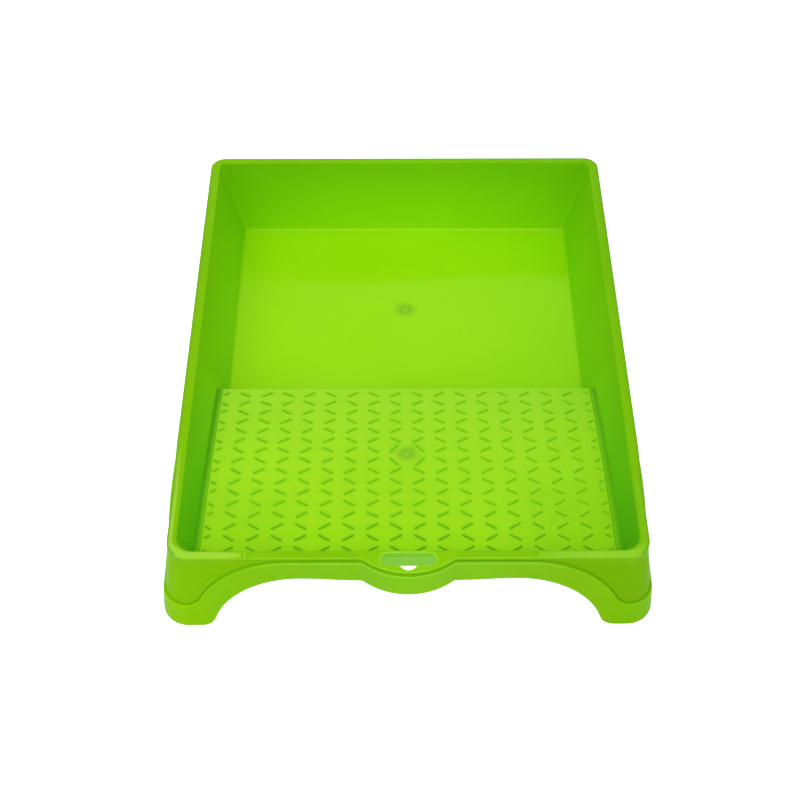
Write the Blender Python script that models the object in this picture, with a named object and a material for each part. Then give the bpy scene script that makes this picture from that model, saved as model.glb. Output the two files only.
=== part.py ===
"""Paint roller tray: one injection-moulded polypropylene shell.

Frame: origin on the ground under the middle of the footprint, +Z up, +Y to the
rear (deep well end), -Y to the front (hanging tab end), X to the right.
The deep well stands on the ground at the rear, the two front legs stand on it
at the front corners, and the ribbed ramp climbs from the well to the front rim.

The shell is a stack of closed rings. Every ring has one point per station round
the perimeter, and neighbouring rings are joined by quads, from the underside of
the well out over the skirt and rim and back down the inside of the well.
"""
import math

import bmesh
import bpy

MM = 0.001

# ---- rim, mouth and material thickness, millimetres -------------------------
RIM_Z = 58.0                 # height of the rim above the ground
RIM_HALF_X = 129.1           # outer edge of the rim flange, sides
RIM_FRONT = 162.5            # outer edge of the flange, front
RIM_REAR = 161.0             # outer edge of the flange, rear
RIM_R_FRONT = 12.0           # outer corner radius, front
RIM_R_REAR = 9.3             # outer corner radius, rear
MOUTH_HALF_X = 124.2         # inner edge of the flange, sides
MOUTH_FRONT = 157.1
MOUTH_REAR = 156.5
MOUTH_R_FRONT = 9.5
MOUTH_R_REAR = 3.5
EDGE_R = 0.8                 # rounding of the flange edges
MOUTH_EDGE_SHARE = EDGE_R / 40.0  # share of the well wall taken by that rounding
FLANGE_T = 1.8               # flange thickness
FLANGE_LOW_Z = RIM_Z - FLANGE_T
EDGE_LOW_RISE = 0.4          # the rim edge starts this far above the flange underside
SKIRT_T = 1.5                # skirt thickness
WALL_T = 1.6                 # well wall thickness
FLOOR_T = 2.0                # floor and ramp thickness

# ---- skirt and band -----------------------------------------------------------
# (offset from the rim edge, outward slope per mm of drop) at the sides, at the front
UPPER_SKIRT = ((-1.1, 0.146), (-0.3, 0.085))
BAND = ((2.05, 0.092), (1.1, 0.077))   # the proud lower band
CORNER_SLOPE = 0.06          # growth of the front corner radius per mm of drop
LIP = 1.0                    # the rim edge is this much wider behind the legs
LIP_SLOPE = 0.085
LIP_START = 119.0            # the wider edge fades in between these distances
LIP_FULL = 83.0              # in front of the middle
BAND_TOP_Z = 55.2            # upper edge of the band where it runs along the rim
BAND_LOW_Z = 18.8            # upper edge of the band at the leg corners
SKIRT_LOW_Z = 42.0           # lower edge of the skirt between the legs
TAB_LOW_Z = 40.3             # lower edge of the skirt at the tab

# The small step at the band's upper edge, as heights from that edge.
STEP_OUT_LOW = -0.4          # outer face: top of the band
STEP_OUT_HIGH = 0.6          # outer face: start of the upper skirt
STEP_OUT_GAP = 0.3           # and at least this far below the flange
STEP_IN_LOW = -0.9           # the same three on the inner face
STEP_IN_HIGH = 0.5
STEP_IN_GAP = 0.5

# Band edge curve: distance from the middle where the dip starts, radius of its
# upper arc, distance where it ends.
BAND_DIP_FRONT = (77.0, 33.5, 129.0)
BAND_DIP_SIDE = (83.0, 45.0, 158.0)

# Leg arch: distance of the arc centre from the middle, arc radius, toe radius.
ARCH_MID = 58.3
ARCH_FRONT = (ARCH_MID, 50.5, 4.5)
ARCH_SIDE = (64.0, 58.0, 6.0)

# ---- hanging tab and slot -------------------------------------------------------
TAB_HALF = 24.8              # half chord of the hanging tab
TAB_OUT = 8.9                # how far the tab bulges forward
SLOT_HALF = 15.2             # hanging slot, half length
SLOT_BACK = 158.75           # slot rear edge
SLOT_FRONT = 166.9           # slot front edge
SLOT_END_STEPS = 8
NOTCH_HALF = 4.3             # nail notch, half width
NOTCH_FRONT = 169.4
NOTCH_STEPS = 6
SLOT_OVERSHOOT = 1.0         # the cutter passes the flange by this much

# ---- well floor, riser and ramp --------------------------------------------------
FLOOR_Z = 2.0                # top of the well floor
FLOOR_HALF_X = 111.8
FLOOR_REAR = 150.7
FOOT_R_REAR = 1.8
RISER_FOOT_Y = -4.5          # foot of the step between well and ramp
RAMP_BACK_Y = -13.2          # top edge of the step, lower end of the ramp
RAMP_BACK_Z = 22.0
RAMP_RISE = 23.8             # rise of the ramp to the front wall
RAMP_CROWN = 3.0             # the ramp is gently arched
RAMP_FRONT = 155.3           # foot of the front wall
RAMP_HALF_X = 115.8
FOOT_R_FRONT = 5.0
LEDGE_W = 3.2                # narrow raised ledge along both sides of the ramp
LEDGE_STEP = 0.8
LEDGE_H = 0.8
LEDGE_START = 1.0            # length over which the ledge rises at the riser
LEDGE_END = 147.5
LEDGE_TAPER = 1.0            # length over which it runs out at the front
LEDGE_TIP_Y = -LEDGE_END - LEDGE_TAPER

# Foot fillet: inset on the base surface, and height up the wall.
FLOOR_FILLET = 2.0           # well floor, both
FLOOR_FILLET_REAR = 1.0      # well floor along the rear, both
RAMP_FILLET = 0.6            # ramp, inset
RAMP_FILLET_H = 0.8          # ramp, height
FRONT_WALL_H = 12.0          # nominal wall height above the front of the ramp

# Outer foot of the wall, on the underside.
UNDER_IN_FRONT = 0.3         # the foot is this much less than WALL_T out, front
UNDER_IN_REAR = 0.2          # and rear
UNDER_R_GROWTH = 1.0         # front corner radius over that of the inner foot
UNDER_SLOPE_Y = -150.0       # the front wall slope is taken at this place

# ---- ribs on the ramp -------------------------------------------------------------
RIB_PITCH_X = 13.1
RIB_PITCH_Y = 8.613
RIB_FIRST_Y = -19.75
RIB_ROWS = 16
RIB_COLS = 16                # full columns; one cut-short column each side
RIB_SPAN_X = 6.35
RIB_SPAN_Y = 4.1
RIB_W = 1.2
RIB_H = 0.9
RIB_ROOT = 0.5               # depth of the rib below the ramp surface
RIB_TOP_SHARE = 0.35         # width at the top as a share of the foot width
RIB_END_IN = 0.35            # the top is this much shorter at each end
RIB_LIMIT_X = 112.0 - 1.2    # ribs are cut off here: plate half width less margin

# The four middle ribs of these rows are turned round a common centre.
TURNED_ROWS = (6, 7)
TURNED_Y = RIB_FIRST_Y - 6.5 * RIB_PITCH_Y
TURNED_OUTER = (10.0, 2.4)   # (x, y) distances of the two rib ends from the centre
TURNED_INNER = (5.0, 8.8)


# ---- floor, ramp and underside ------------------------------------------------------
def ramp_z(y):
    share = (RAMP_BACK_Y - y) / (RAMP_FRONT + RAMP_BACK_Y)
    return RAMP_BACK_Z + RAMP_RISE * share + 4 * RAMP_CROWN * share * (1 - share)


def riser_share(y):
    """0 at the foot of the riser, 1 at its top edge."""
    return (RISER_FOOT_Y - y) / (RISER_FOOT_Y - RAMP_BACK_Y)


def base_z(y):
    """Top surface of floor, riser and ramp."""
    if y >= RISER_FOOT_Y:
        return FLOOR_Z
    if y >= RAMP_BACK_Y:
        return FLOOR_Z + riser_share(y) * (RAMP_BACK_Z - FLOOR_Z)
    return ramp_z(y)


RISER_SLOPE = (RAMP_BACK_Z - FLOOR_Z) / (RISER_FOOT_Y - RAMP_BACK_Y)
RISER_NORMAL = math.hypot(1.0, RISER_SLOPE)
UNDER_DY = FLOOR_T * RISER_SLOPE / RISER_NORMAL
UNDER_DZ = FLOOR_T / RISER_NORMAL


def riser_under(y):
    """Underside of the riser, FLOOR_T away from its face."""
    return FLOOR_Z - UNDER_DZ + RISER_SLOPE * (RISER_FOOT_Y - UNDER_DY - y)


def find_under_edge():
    """Y where the undersides of riser and ramp meet, by bisection."""
    front, back = RAMP_BACK_Y - 4.0, RAMP_BACK_Y
    for _ in range(40):
        middle = 0.5 * (front + back)
        if riser_under(middle) > ramp_z(middle) - FLOOR_T:
            front = middle
        else:
            back = middle
    return front


UNDER_FOOT_Y = RISER_FOOT_Y - UNDER_DY + (FLOOR_Z - UNDER_DZ) / RISER_SLOPE
UNDER_EDGE_Y = find_under_edge()


def under_z(y):
    if y >= UNDER_FOOT_Y:
        return FLOOR_Z - FLOOR_T
    if y >= UNDER_EDGE_Y:
        return riser_under(y)
    return ramp_z(y) - FLOOR_T


def foot_half_x(y):
    """Half width of the well where its plane side walls meet the base."""
    drop_share = (RIM_Z - base_z(y)) / (RIM_Z - FLOOR_Z)
    half = MOUTH_HALF_X - (MOUTH_HALF_X - FLOOR_HALF_X) * drop_share
    return min(half, RAMP_HALF_X) if y < RAMP_BACK_Y else half


def ledge_h(y):
    if y > RAMP_BACK_Y:
        return 0.0
    if y < -LEDGE_END:
        return LEDGE_H * max(0.0, 1 - (-LEDGE_END - y) / LEDGE_TAPER)
    return LEDGE_H * min(1.0, (RAMP_BACK_Y - y) / LEDGE_START)


# ---- edge curves of tab, skirt and band ------------------------------------------------
def tab(x):
    """Forward bulge of the tab, a circular arc over its chord."""
    if abs(x) >= TAB_HALF:
        return 0.0
    radius = (TAB_HALF ** 2 + TAB_OUT ** 2) / (2 * TAB_OUT)
    return math.sqrt(radius * radius - x * x) - (radius - TAB_OUT)


def arch_z(distance, middle, radius, toe):
    """Lower edge of the skirt at a distance from the middle of a side."""
    centre_z = SKIRT_LOW_Z - radius
    width = math.sqrt((radius + toe) ** 2 - (toe - centre_z) ** 2)
    toe_at = middle + width
    tangent_at = middle + width * radius / (radius + toe)
    if distance <= middle:
        return SKIRT_LOW_Z
    if distance <= tangent_at:
        return centre_z + math.sqrt(max(0.0, radius ** 2 - (distance - middle) ** 2))
    if distance <= toe_at:
        return toe - math.sqrt(max(0.0, toe ** 2 - (toe_at - distance) ** 2))
    return 0.0


def front_low_z(x):
    """Lower edge of the front skirt: level tab, sloping line, leg arch."""
    x = abs(x)
    if x <= TAB_HALF:
        return TAB_LOW_Z
    if x <= ARCH_MID:
        return TAB_LOW_Z + (SKIRT_LOW_Z - TAB_LOW_Z) * (x - TAB_HALF) / (ARCH_MID - TAB_HALF)
    return arch_z(x, *ARCH_FRONT)


def band_z(distance, start, upper_r, end):
    """Upper edge of the band: runs level, dips in an S down to the leg corner."""
    upper_z = BAND_TOP_Z - upper_r
    drop = BAND_LOW_Z - upper_z
    lower_r = ((end - start) ** 2 + drop ** 2 - upper_r ** 2) / (2 * (upper_r - drop))
    turn = start + (end - start) * upper_r / (upper_r + lower_r)
    if distance <= start:
        return BAND_TOP_Z
    if distance <= turn:
        return upper_z + math.sqrt(max(0.0, upper_r ** 2 - (distance - start) ** 2))
    if distance <= end:
        rise = math.sqrt(max(0.0, lower_r ** 2 - (end - distance) ** 2))
        return BAND_LOW_Z + lower_r - rise
    return BAND_LOW_Z


# ---- stations round the perimeter --------------------------------------------------------
# A station is (kind, position). The position is x at the front and rear, y at the
# sides, and the share of the quarter turn, 0 to 1, at the corners. The order is
# anticlockwise seen from above, starting at the left end of the front.
SIDES = ("right", "left")
FRONT_KINDS = ("front", "front_right", "front_left")

LEG_R = 15.5                 # corner radius at the foot of the legs
X_END = RIM_HALF_X + BAND[0][0] + BAND[0][1] * RIM_Z - LEG_R
Y_END = RIM_FRONT + BAND[1][0] + BAND[1][1] * RIM_Z - LEG_R
# Beyond these distances stations are squeezed to end at each ring's own corner.
X_KEEP_WELL = 100.0
X_KEEP_SKIRT = 112.0
Y_KEEP = 135.6
N_FRONT = 6                  # steps in a front corner
N_REAR = 5                   # steps in a rear corner


def ledge_station(distance):
    """Side station whose well foot lies this far in front of the middle."""
    stretch = (Y_END - Y_KEEP) / (RAMP_FRONT - FOOT_R_FRONT - Y_KEEP)
    return -(Y_KEEP + (distance - Y_KEEP) * stretch)


HALF_FRONT_X = [TAB_HALF * i / 7 for i in range(1, 8)] + [
    27.0, 42.0, 58.3, 64.0, 70.0, 76.0, 81.0, 86.0, 91.0, 95.5, 99.5,
    102.5, 105.0, 107.0, 108.5, 110.0, 112.0, 116.5, 120.0]
FRONT_X = [-x for x in reversed(HALF_FRONT_X)] + [0.0] + HALF_FRONT_X
SIDE_Y = [
    ledge_station(LEDGE_END + LEDGE_TAPER), ledge_station(LEDGE_END),
    -142.0, -Y_KEEP, -129.0, -125.5, -122.6, -119.8, -116.5,
    -112.5, -107.5, -101.2, -92.6, -84.0, -75.3, -64.0, -49.5, -32.3,
    UNDER_EDGE_Y, RAMP_BACK_Y - LEDGE_START, RAMP_BACK_Y, -9.0, UNDER_FOOT_Y,
    RISER_FOOT_Y, 40.0, 100.0, 142.0]
REAR_X = [100.0, 50.0, 0.0, -50.0, -100.0]


def corner(kind, steps):
    return [(kind, i / steps) for i in range(steps + 1)]


STATIONS = [("front", x) for x in FRONT_X]
STATIONS += corner("front_right", N_FRONT)
STATIONS += [("right", y) for y in SIDE_Y]
STATIONS += corner("rear_right", N_REAR)
STATIONS += [("rear", x) for x in REAR_X]
STATIONS += corner("rear_left", N_REAR)
STATIONS += [("left", y) for y in reversed(SIDE_Y)]
STATIONS += corner("front_left", N_FRONT)

# Place in a ring of the first station of each stretch the base faces need.
FIRST_FR = len(FRONT_X)
FIRST_RIGHT = FIRST_FR + N_FRONT + 1
FIRST_FL = len(STATIONS) - (N_FRONT + 1)


def squeeze_y(pos, end):
    """Y of a side station on an outline whose straight side ends at `end`."""
    if pos < -Y_KEEP:
        return -Y_KEEP + (pos + Y_KEEP) * (end - Y_KEEP) / (Y_END - Y_KEEP)
    return pos


def foot_y(pos):
    """Y of a side station at the foot of the well wall."""
    return squeeze_y(pos, RAMP_FRONT - FOOT_R_FRONT)


def side_sign(kind):
    return 1.0 if kind == "right" else -1.0


def place(station, half_x, front, rear, r_front, r_rear, bulge=0.0, keep=X_KEEP_WELL):
    """Point of a rounded rectangle at a station, as (x, y)."""
    kind, pos = station
    if kind == "front":
        x = pos
        if abs(pos) > keep:
            squeezed = (abs(pos) - keep) * ((half_x - r_front) - keep) / (X_END - keep)
            x = math.copysign(keep + squeezed, pos)
        return x, -front - bulge * tab(x)
    if kind in SIDES:
        return side_sign(kind) * half_x, squeeze_y(pos, front - r_front)
    if kind == "rear":
        return pos, rear
    sin, cos = math.sin(0.5 * math.pi * pos), math.cos(0.5 * math.pi * pos)
    if kind == "front_right":
        return half_x - r_front + r_front * sin, -front + r_front - r_front * cos
    if kind == "rear_right":
        return half_x - r_rear + r_rear * cos, rear - r_rear + r_rear * sin
    if kind == "rear_left":
        return -half_x + r_rear - r_rear * sin, rear - r_rear + r_rear * cos
    return -half_x + r_front - r_front * cos, -front + r_front - r_front * sin


def low_edge(station):
    """Height of the lower edge of the skirt."""
    kind, pos = station
    if kind == "front":
        return front_low_z(pos)
    if kind in SIDES:
        return arch_z(-pos, *ARCH_SIDE)
    return 0.0 if kind in FRONT_KINDS else SKIRT_LOW_Z


def band_edge(station):
    """Height of the upper edge of the band."""
    kind, pos = station
    if kind == "front":
        return band_z(abs(pos), *BAND_DIP_FRONT)
    if kind in SIDES:
        return band_z(-pos, *BAND_DIP_SIDE)
    if kind not in FRONT_KINDS:
        return BAND_TOP_Z
    arc = 0.5 * math.pi * LEG_R
    turned = pos if kind == "front_right" else 1 - pos
    return max(band_z(X_END + arc * turned, *BAND_DIP_FRONT),
               band_z(Y_END + arc * (1 - turned), *BAND_DIP_SIDE))


def lip(station):
    """0 round the legs, 1 along the rear where the rim edge is wider."""
    kind, pos = station
    if kind in FRONT_KINDS:
        return 0.0
    if kind in SIDES:
        share = min(1.0, max(0.0, (LIP_START + pos) / (LIP_START - LIP_FULL)))
        return share * share * (3 - 2 * share)
    return 1.0


# ---- ring points -------------------------------------------------------------------------
def skirt(station, z, profile, inset=0.0):
    """Skirt at height z on a profile; inset is measured in from the outer face."""
    (side_out, side_slope), (front_out, front_slope) = profile
    drop = RIM_Z - z
    wide = lip(station)
    rear_out = LIP_SLOPE * drop
    side = (1 - wide) * (side_out + side_slope * drop) + wide * (LIP + rear_out)
    x, y = place(station, RIM_HALF_X + side - inset,
                 RIM_FRONT + front_out + front_slope * drop - inset,
                 RIM_REAR + rear_out - inset,
                 RIM_R_FRONT + CORNER_SLOPE * drop - inset,
                 RIM_R_REAR + rear_out - inset, 1.0, X_KEEP_SKIRT)
    return x, y, z


def edge(station, z, inset=0.0):
    """Outer edge of the rim flange."""
    x, y = place(station, RIM_HALF_X + LIP * lip(station) - inset,
                 RIM_FRONT - inset, RIM_REAR - inset,
                 RIM_R_FRONT - inset, RIM_R_REAR - inset, 1.0, X_KEEP_SKIRT)
    return x, y, z


def mouth(station, z, out):
    x, y = place(station, MOUTH_HALF_X + out, MOUTH_FRONT + out, MOUTH_REAR + out,
                 MOUTH_R_FRONT + out, MOUTH_R_REAR + out)
    return x, y, z


def wall(station, share):
    """Inner face of the well wall: share 0 at the mouth, 1 at the foot."""
    kind, pos = station
    if kind in SIDES:
        y = foot_y(pos)
        foot = side_sign(kind) * foot_half_x(y), y, base_z(y) + ledge_h(y)
    else:
        half = RAMP_HALF_X if kind in FRONT_KINDS else FLOOR_HALF_X
        x, y = place(station, half, RAMP_FRONT, FLOOR_REAR, FOOT_R_FRONT, FOOT_R_REAR)
        foot = x, y, base_z(y)
    top = mouth(station, RIM_Z, 0.0)
    return tuple(t + (f - t) * share for t, f in zip(top, foot))


def fillet_share(station):
    """Share of the wall height taken by the foot fillet."""
    kind, pos = station
    if kind in SIDES:
        height = FLOOR_FILLET if pos > RISER_FOOT_Y else RAMP_FILLET_H
        return height / (RIM_Z - base_z(pos))
    if kind in FRONT_KINDS:
        return RAMP_FILLET_H / FRONT_WALL_H
    return FLOOR_FILLET_REAR / (RIM_Z - FLOOR_Z)


def foot(station):
    """Inner edge of the foot fillet, on the base surface."""
    kind, pos = station
    if kind in SIDES:
        y = foot_y(pos)
        blend = min(1.0, max(0.0, riser_share(y)))
        inset = FLOOR_FILLET + (RAMP_FILLET - FLOOR_FILLET) * blend
        return side_sign(kind) * (foot_half_x(y) - inset), y, base_z(y) + ledge_h(y)
    half = RAMP_HALF_X - RAMP_FILLET if kind in FRONT_KINDS else FLOOR_HALF_X - FLOOR_FILLET
    x, y = place(station, half, RAMP_FRONT - RAMP_FILLET, FLOOR_REAR - FLOOR_FILLET_REAR,
                 FOOT_R_FRONT - RAMP_FILLET, 1.0)
    return x, y, base_z(y)


def outer_half_x(foot_half, foot_z, drop):
    """Half width of the wall's outer face, a drop below the inner foot."""
    slope = (MOUTH_HALF_X - foot_half) / (RIM_Z - foot_z)
    return foot_half + WALL_T * math.hypot(1, slope) - slope * drop


def under(station):
    """Outer foot of the well wall, on the underside."""
    kind, pos = station
    if kind in SIDES:
        y = foot_y(pos)
        z = under_z(y)
        half = outer_half_x(foot_half_x(y), base_z(y), base_z(y) - z)
        return side_sign(kind) * half, y, z
    if kind in FRONT_KINDS:
        half = outer_half_x(RAMP_HALF_X, ramp_z(UNDER_SLOPE_Y), FLOOR_T)
    else:
        half = outer_half_x(FLOOR_HALF_X, FLOOR_Z, FLOOR_T)
    x, y = place(station, half, RAMP_FRONT + WALL_T - UNDER_IN_FRONT,
                 FLOOR_REAR + WALL_T - UNDER_IN_REAR,
                 FOOT_R_FRONT + UNDER_R_GROWTH, FOOT_R_REAR + WALL_T)
    return x, y, under_z(max(y, -RAMP_FRONT))


def step_top(station, rise, gap):
    """Start of the upper skirt above the band edge, kept below the flange."""
    return min(band_edge(station) + rise, FLANGE_LOW_Z - gap)


RINGS = [
    # underside of well and flange
    under,
    lambda st: mouth(st, FLANGE_LOW_Z, WALL_T),
    # inner face of the skirt, downwards
    lambda st: skirt(st, FLANGE_LOW_Z, UPPER_SKIRT, SKIRT_T),
    lambda st: skirt(st, step_top(st, STEP_IN_HIGH, STEP_IN_GAP), UPPER_SKIRT, SKIRT_T),
    lambda st: skirt(st, band_edge(st) + STEP_IN_LOW, BAND, SKIRT_T),
    lambda st: skirt(st, low_edge(st), BAND, SKIRT_T),
    # outer face of the skirt, upwards
    lambda st: skirt(st, low_edge(st), BAND),
    lambda st: skirt(st, band_edge(st) + STEP_OUT_LOW, BAND),
    lambda st: skirt(st, step_top(st, STEP_OUT_HIGH, STEP_OUT_GAP), UPPER_SKIRT),
    lambda st: skirt(st, FLANGE_LOW_Z, UPPER_SKIRT),
    # rim flange
    lambda st: edge(st, FLANGE_LOW_Z + EDGE_LOW_RISE),
    lambda st: edge(st, RIM_Z - EDGE_R),
    lambda st: edge(st, RIM_Z, EDGE_R),
    lambda st: mouth(st, RIM_Z, EDGE_R),
    # inner face of the well
    lambda st: wall(st, MOUTH_EDGE_SHARE),
    lambda st: wall(st, 1.0 - fillet_share(st)),
    foot,
]


# ---- tray body -----------------------------------------------------------------------------
def ledge_row(verts, y):
    """Add the four inner points of a ramp row: the ledge's edges, left to right."""
    start = len(verts)
    inner = foot_half_x(y) - LEDGE_W
    z = base_z(y)
    top = z + ledge_h(y)
    verts += [(-(inner + LEDGE_STEP), y, top), (-inner, y, z),
              (inner, y, z), (inner + LEDGE_STEP, y, top)]
    return list(range(start, start + 4))


def strip(front, back):
    """Faces between two rows, each of two points or, with ledges, of six."""
    if len(front) == len(back):
        return [(front[q], front[q + 1], back[q + 1], back[q])
                for q in range(len(front) - 1)]
    f, b = front, back
    if len(back) == 2:
        return [(f[0], f[1], b[0]), (f[1], f[2], b[0]), (f[2], f[3], b[1], b[0]),
                (f[3], f[4], b[1]), (f[4], f[5], b[1])]
    return [(f[0], b[1], b[0]), (f[0], b[2], b[1]), (f[0], f[1], b[3], b[2]),
            (f[1], b[4], b[3]), (f[1], b[5], b[4])]


def close_base(verts, faces, base, floor_y, top):
    """Close a ring with rows running straight across, rear to front.

    The flat floor behind floor_y is one face. The top side carries the ledges.
    """
    def add(face):
        faces.append(tuple(face) if top else tuple(reversed(face)))

    def row(i):
        left, right = base + FIRST_FL - 1 - i, base + FIRST_RIGHT + i
        y = foot_y(SIDE_Y[i])
        if top and LEDGE_TIP_Y + 1e-6 < y < RAMP_BACK_Y - 1e-9:
            return [left] + ledge_row(verts, y) + [right]
        return [left, right]

    floor_row = SIDE_Y.index(floor_y)
    back = row(floor_row)
    add(range(back[1], back[0] + 1))
    for i in range(floor_row - 1, -1, -1):
        front = row(i)
        for face in strip(front, back):
            add(face)
        back = front
    for j in range(N_FRONT, 0, -1):
        front = [base + FIRST_FL + N_FRONT - j, base + FIRST_FR + j]
        add(strip(front, back)[0])
        back = front
    front_edge = list(range(base, base + FIRST_FR + 1))
    add([base + FIRST_FL + N_FRONT] + front_edge + [back[1], back[0]])


def build_shell():
    verts = [point(station) for point in RINGS for station in STATIONS]
    faces = []
    count = len(STATIONS)
    last = (len(RINGS) - 1) * count
    for a in range(0, last, count):
        b = a + count
        for k in range(count):
            n = (k + 1) % count
            faces.append((a + k, a + n, b + n, b + k))
    close_base(verts, faces, last, RISER_FOOT_Y, True)
    close_base(verts, faces, 0, UNDER_FOOT_Y, False)
    return verts, faces


# ---- ribs ------------------------------------------------------------------------------------
def rib_ends(row, col):
    """Both ends of a rib's centre line. The slopes alternate and mirror at x = 0."""
    xc = (col - (RIB_COLS - 1) / 2) * RIB_PITCH_X
    yc = RIB_FIRST_Y - RIB_PITCH_Y * row
    side = math.copysign(1.0, xc)
    if row in TURNED_ROWS and abs(xc) < RIB_PITCH_X:
        up = 1.0 if yc > TURNED_Y else -1.0
        return [(side * dx, TURNED_Y + up * dy) for dx, dy in (TURNED_OUTER, TURNED_INNER)]
    from_edge = min(col, RIB_COLS - 1 - col)
    sign = side if (from_edge + row) % 2 == 0 else -side
    slope = sign * RIB_SPAN_Y / RIB_SPAN_X
    x0 = max(xc - RIB_SPAN_X / 2, -RIB_LIMIT_X)
    x1 = min(xc + RIB_SPAN_X / 2, RIB_LIMIT_X)
    return [(x, yc + slope * (x - xc)) for x in (x0, x1)]


def build_ribs():
    verts, faces = [], []
    for row in range(RIB_ROWS):
        for col in range(-1, RIB_COLS + 1):
            start, end = rib_ends(row, col)
            dx, dy = end[0] - start[0], end[1] - start[1]
            length = math.hypot(dx, dy)
            nx, ny = -dy / length * RIB_W / 2, dx / length * RIB_W / 2
            top_nx, top_ny = nx * RIB_TOP_SHARE, ny * RIB_TOP_SHARE
            a = len(verts)
            b = a + 4
            for (x, y), inset in ((start, RIB_END_IN), (end, -RIB_END_IN)):
                z = ramp_z(y)
                top_x, top_y = x + inset * dx / length, y + inset * dy / length
                verts += [(x - nx, y - ny, z - RIB_ROOT),
                          (x + nx, y + ny, z - RIB_ROOT),
                          (top_x + top_nx, top_y + top_ny, z + RIB_H),
                          (top_x - top_nx, top_y - top_ny, z + RIB_H)]
            faces += [(a, a + 1, a + 2, a + 3), (b + 3, b + 2, b + 1, b),
                      (a, a + 3, b + 3, b), (a + 1, a, b, b + 1),
                      (a + 2, a + 1, b + 1, b + 2), (a + 3, a + 2, b + 2, b + 3)]
    return verts, faces


# ---- hanging slot ------------------------------------------------------------------------------
def slot_outline():
    """Round-ended slot with a shallow arc notch in its front edge."""
    radius = (SLOT_FRONT - SLOT_BACK) / 2
    centre_y = -(SLOT_FRONT + SLOT_BACK) / 2
    points = []
    for side in (1, -1):
        for i in range(SLOT_END_STEPS + 1):
            angle = -side * 0.5 * math.pi + math.pi * i / SLOT_END_STEPS
            points.append((side * (SLOT_HALF - radius) + radius * math.cos(angle),
                           centre_y + radius * math.sin(angle)))
    depth = NOTCH_FRONT - SLOT_FRONT
    notch_r = (NOTCH_HALF ** 2 + depth ** 2) / (2 * depth)
    half_angle = math.asin(NOTCH_HALF / notch_r)
    for i in range(NOTCH_STEPS + 1):
        angle = -half_angle + 2 * half_angle * i / NOTCH_STEPS
        points.append((notch_r * math.sin(angle),
                       -NOTCH_FRONT + notch_r * (1 - math.cos(angle))))
    return points


def build_slot():
    outline = slot_outline()
    count = len(outline)
    verts = [(x, y, z) for z in (FLANGE_LOW_Z - SLOT_OVERSHOOT, RIM_Z + SLOT_OVERSHOOT)
             for x, y in outline]
    faces = [tuple(range(count - 1, -1, -1)), tuple(range(count, 2 * count))]
    faces += [(i, (i + 1) % count, count + (i + 1) % count, count + i) for i in range(count)]
    return verts, faces


# ---- scene ---------------------------------------------------------------------------------------
def make_object(name, verts, faces):
    mesh = bpy.data.meshes.new(name)
    mesh.from_pydata([(x * MM, y * MM, z * MM) for x, y, z in verts], [], faces)
    bm = bmesh.new()
    bm.from_mesh(mesh)
    bmesh.ops.remove_doubles(bm, verts=bm.verts, dist=1e-6)
    bmesh.ops.recalc_face_normals(bm, faces=bm.faces)
    bm.to_mesh(mesh)
    bm.free()
    mesh.update()
    obj = bpy.data.objects.new(name, mesh)
    bpy.context.scene.collection.objects.link(obj)
    return obj


def make_guide(name, verts, faces):
    """Helper for a boolean, not rendered."""
    guide = make_object(name, verts, faces)
    guide.hide_render = True
    guide.display_type = "WIRE"
    return guide


def make_plastic():
    material = bpy.data.materials.new("green_polypropylene")
    material.use_nodes = True
    inputs = material.node_tree.nodes["Principled BSDF"].inputs
    inputs["Base Color"].default_value = (0.27, 0.68, 0.012, 1.0)
    inputs["Roughness"].default_value = 0.38
    inputs["IOR"].default_value = 1.49
    return material


def add_boolean(obj, name, operation, guide):
    modifier = obj.modifiers.new(name, "BOOLEAN")
    modifier.operation = operation
    modifier.solver = "EXACT"
    modifier.object = guide


for old in list(bpy.data.objects):
    bpy.data.objects.remove(old, do_unlink=True)

tray = make_object("tray_body", *build_shell())
tray.data.materials.append(make_plastic())
ribs = make_guide("ribs_guide", *build_ribs())
slot = make_guide("slot_guide", *build_slot())
add_boolean(tray, "slot", "DIFFERENCE", slot)
add_boolean(tray, "ribs", "UNION", ribs)
tray.data.set_sharp_from_angle(angle=math.radians(35))
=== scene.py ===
"""Looks of the paint roller tray: one injection-moulded polypropylene shell.

The tray stands on z = 0 with x across it. The flat floor is at the rear (+y), and
a riser leads from it to the ribbed ramp, which climbs to the front (-y), where the
rim bulges into a slotted tab.

The surface is lofted round the perimeter: at every station a profile runs from the
underside up the well wall, under the rim, down and up the skirt, over the rim and
down the inner wall, with every moulded edge rounded. Floor, riser and ramp are
closed with rows straight across. Ribs, slot and gate marks are then joined or cut.
"""
import math
from collections import namedtuple

import bmesh
import bpy
import numpy as np
from mathutils import Matrix


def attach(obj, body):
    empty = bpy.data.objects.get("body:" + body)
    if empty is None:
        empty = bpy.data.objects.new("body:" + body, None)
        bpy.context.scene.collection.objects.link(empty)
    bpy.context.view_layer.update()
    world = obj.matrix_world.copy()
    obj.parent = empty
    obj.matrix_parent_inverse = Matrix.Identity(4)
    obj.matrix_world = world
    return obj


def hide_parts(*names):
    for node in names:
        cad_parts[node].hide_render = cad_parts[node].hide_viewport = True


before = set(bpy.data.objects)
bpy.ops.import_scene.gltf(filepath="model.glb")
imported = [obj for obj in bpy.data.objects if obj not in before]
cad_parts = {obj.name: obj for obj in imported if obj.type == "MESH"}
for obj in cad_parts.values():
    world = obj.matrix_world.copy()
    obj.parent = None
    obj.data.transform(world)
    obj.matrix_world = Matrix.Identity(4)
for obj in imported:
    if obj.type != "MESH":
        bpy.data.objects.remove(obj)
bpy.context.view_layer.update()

MM = 0.001

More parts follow.
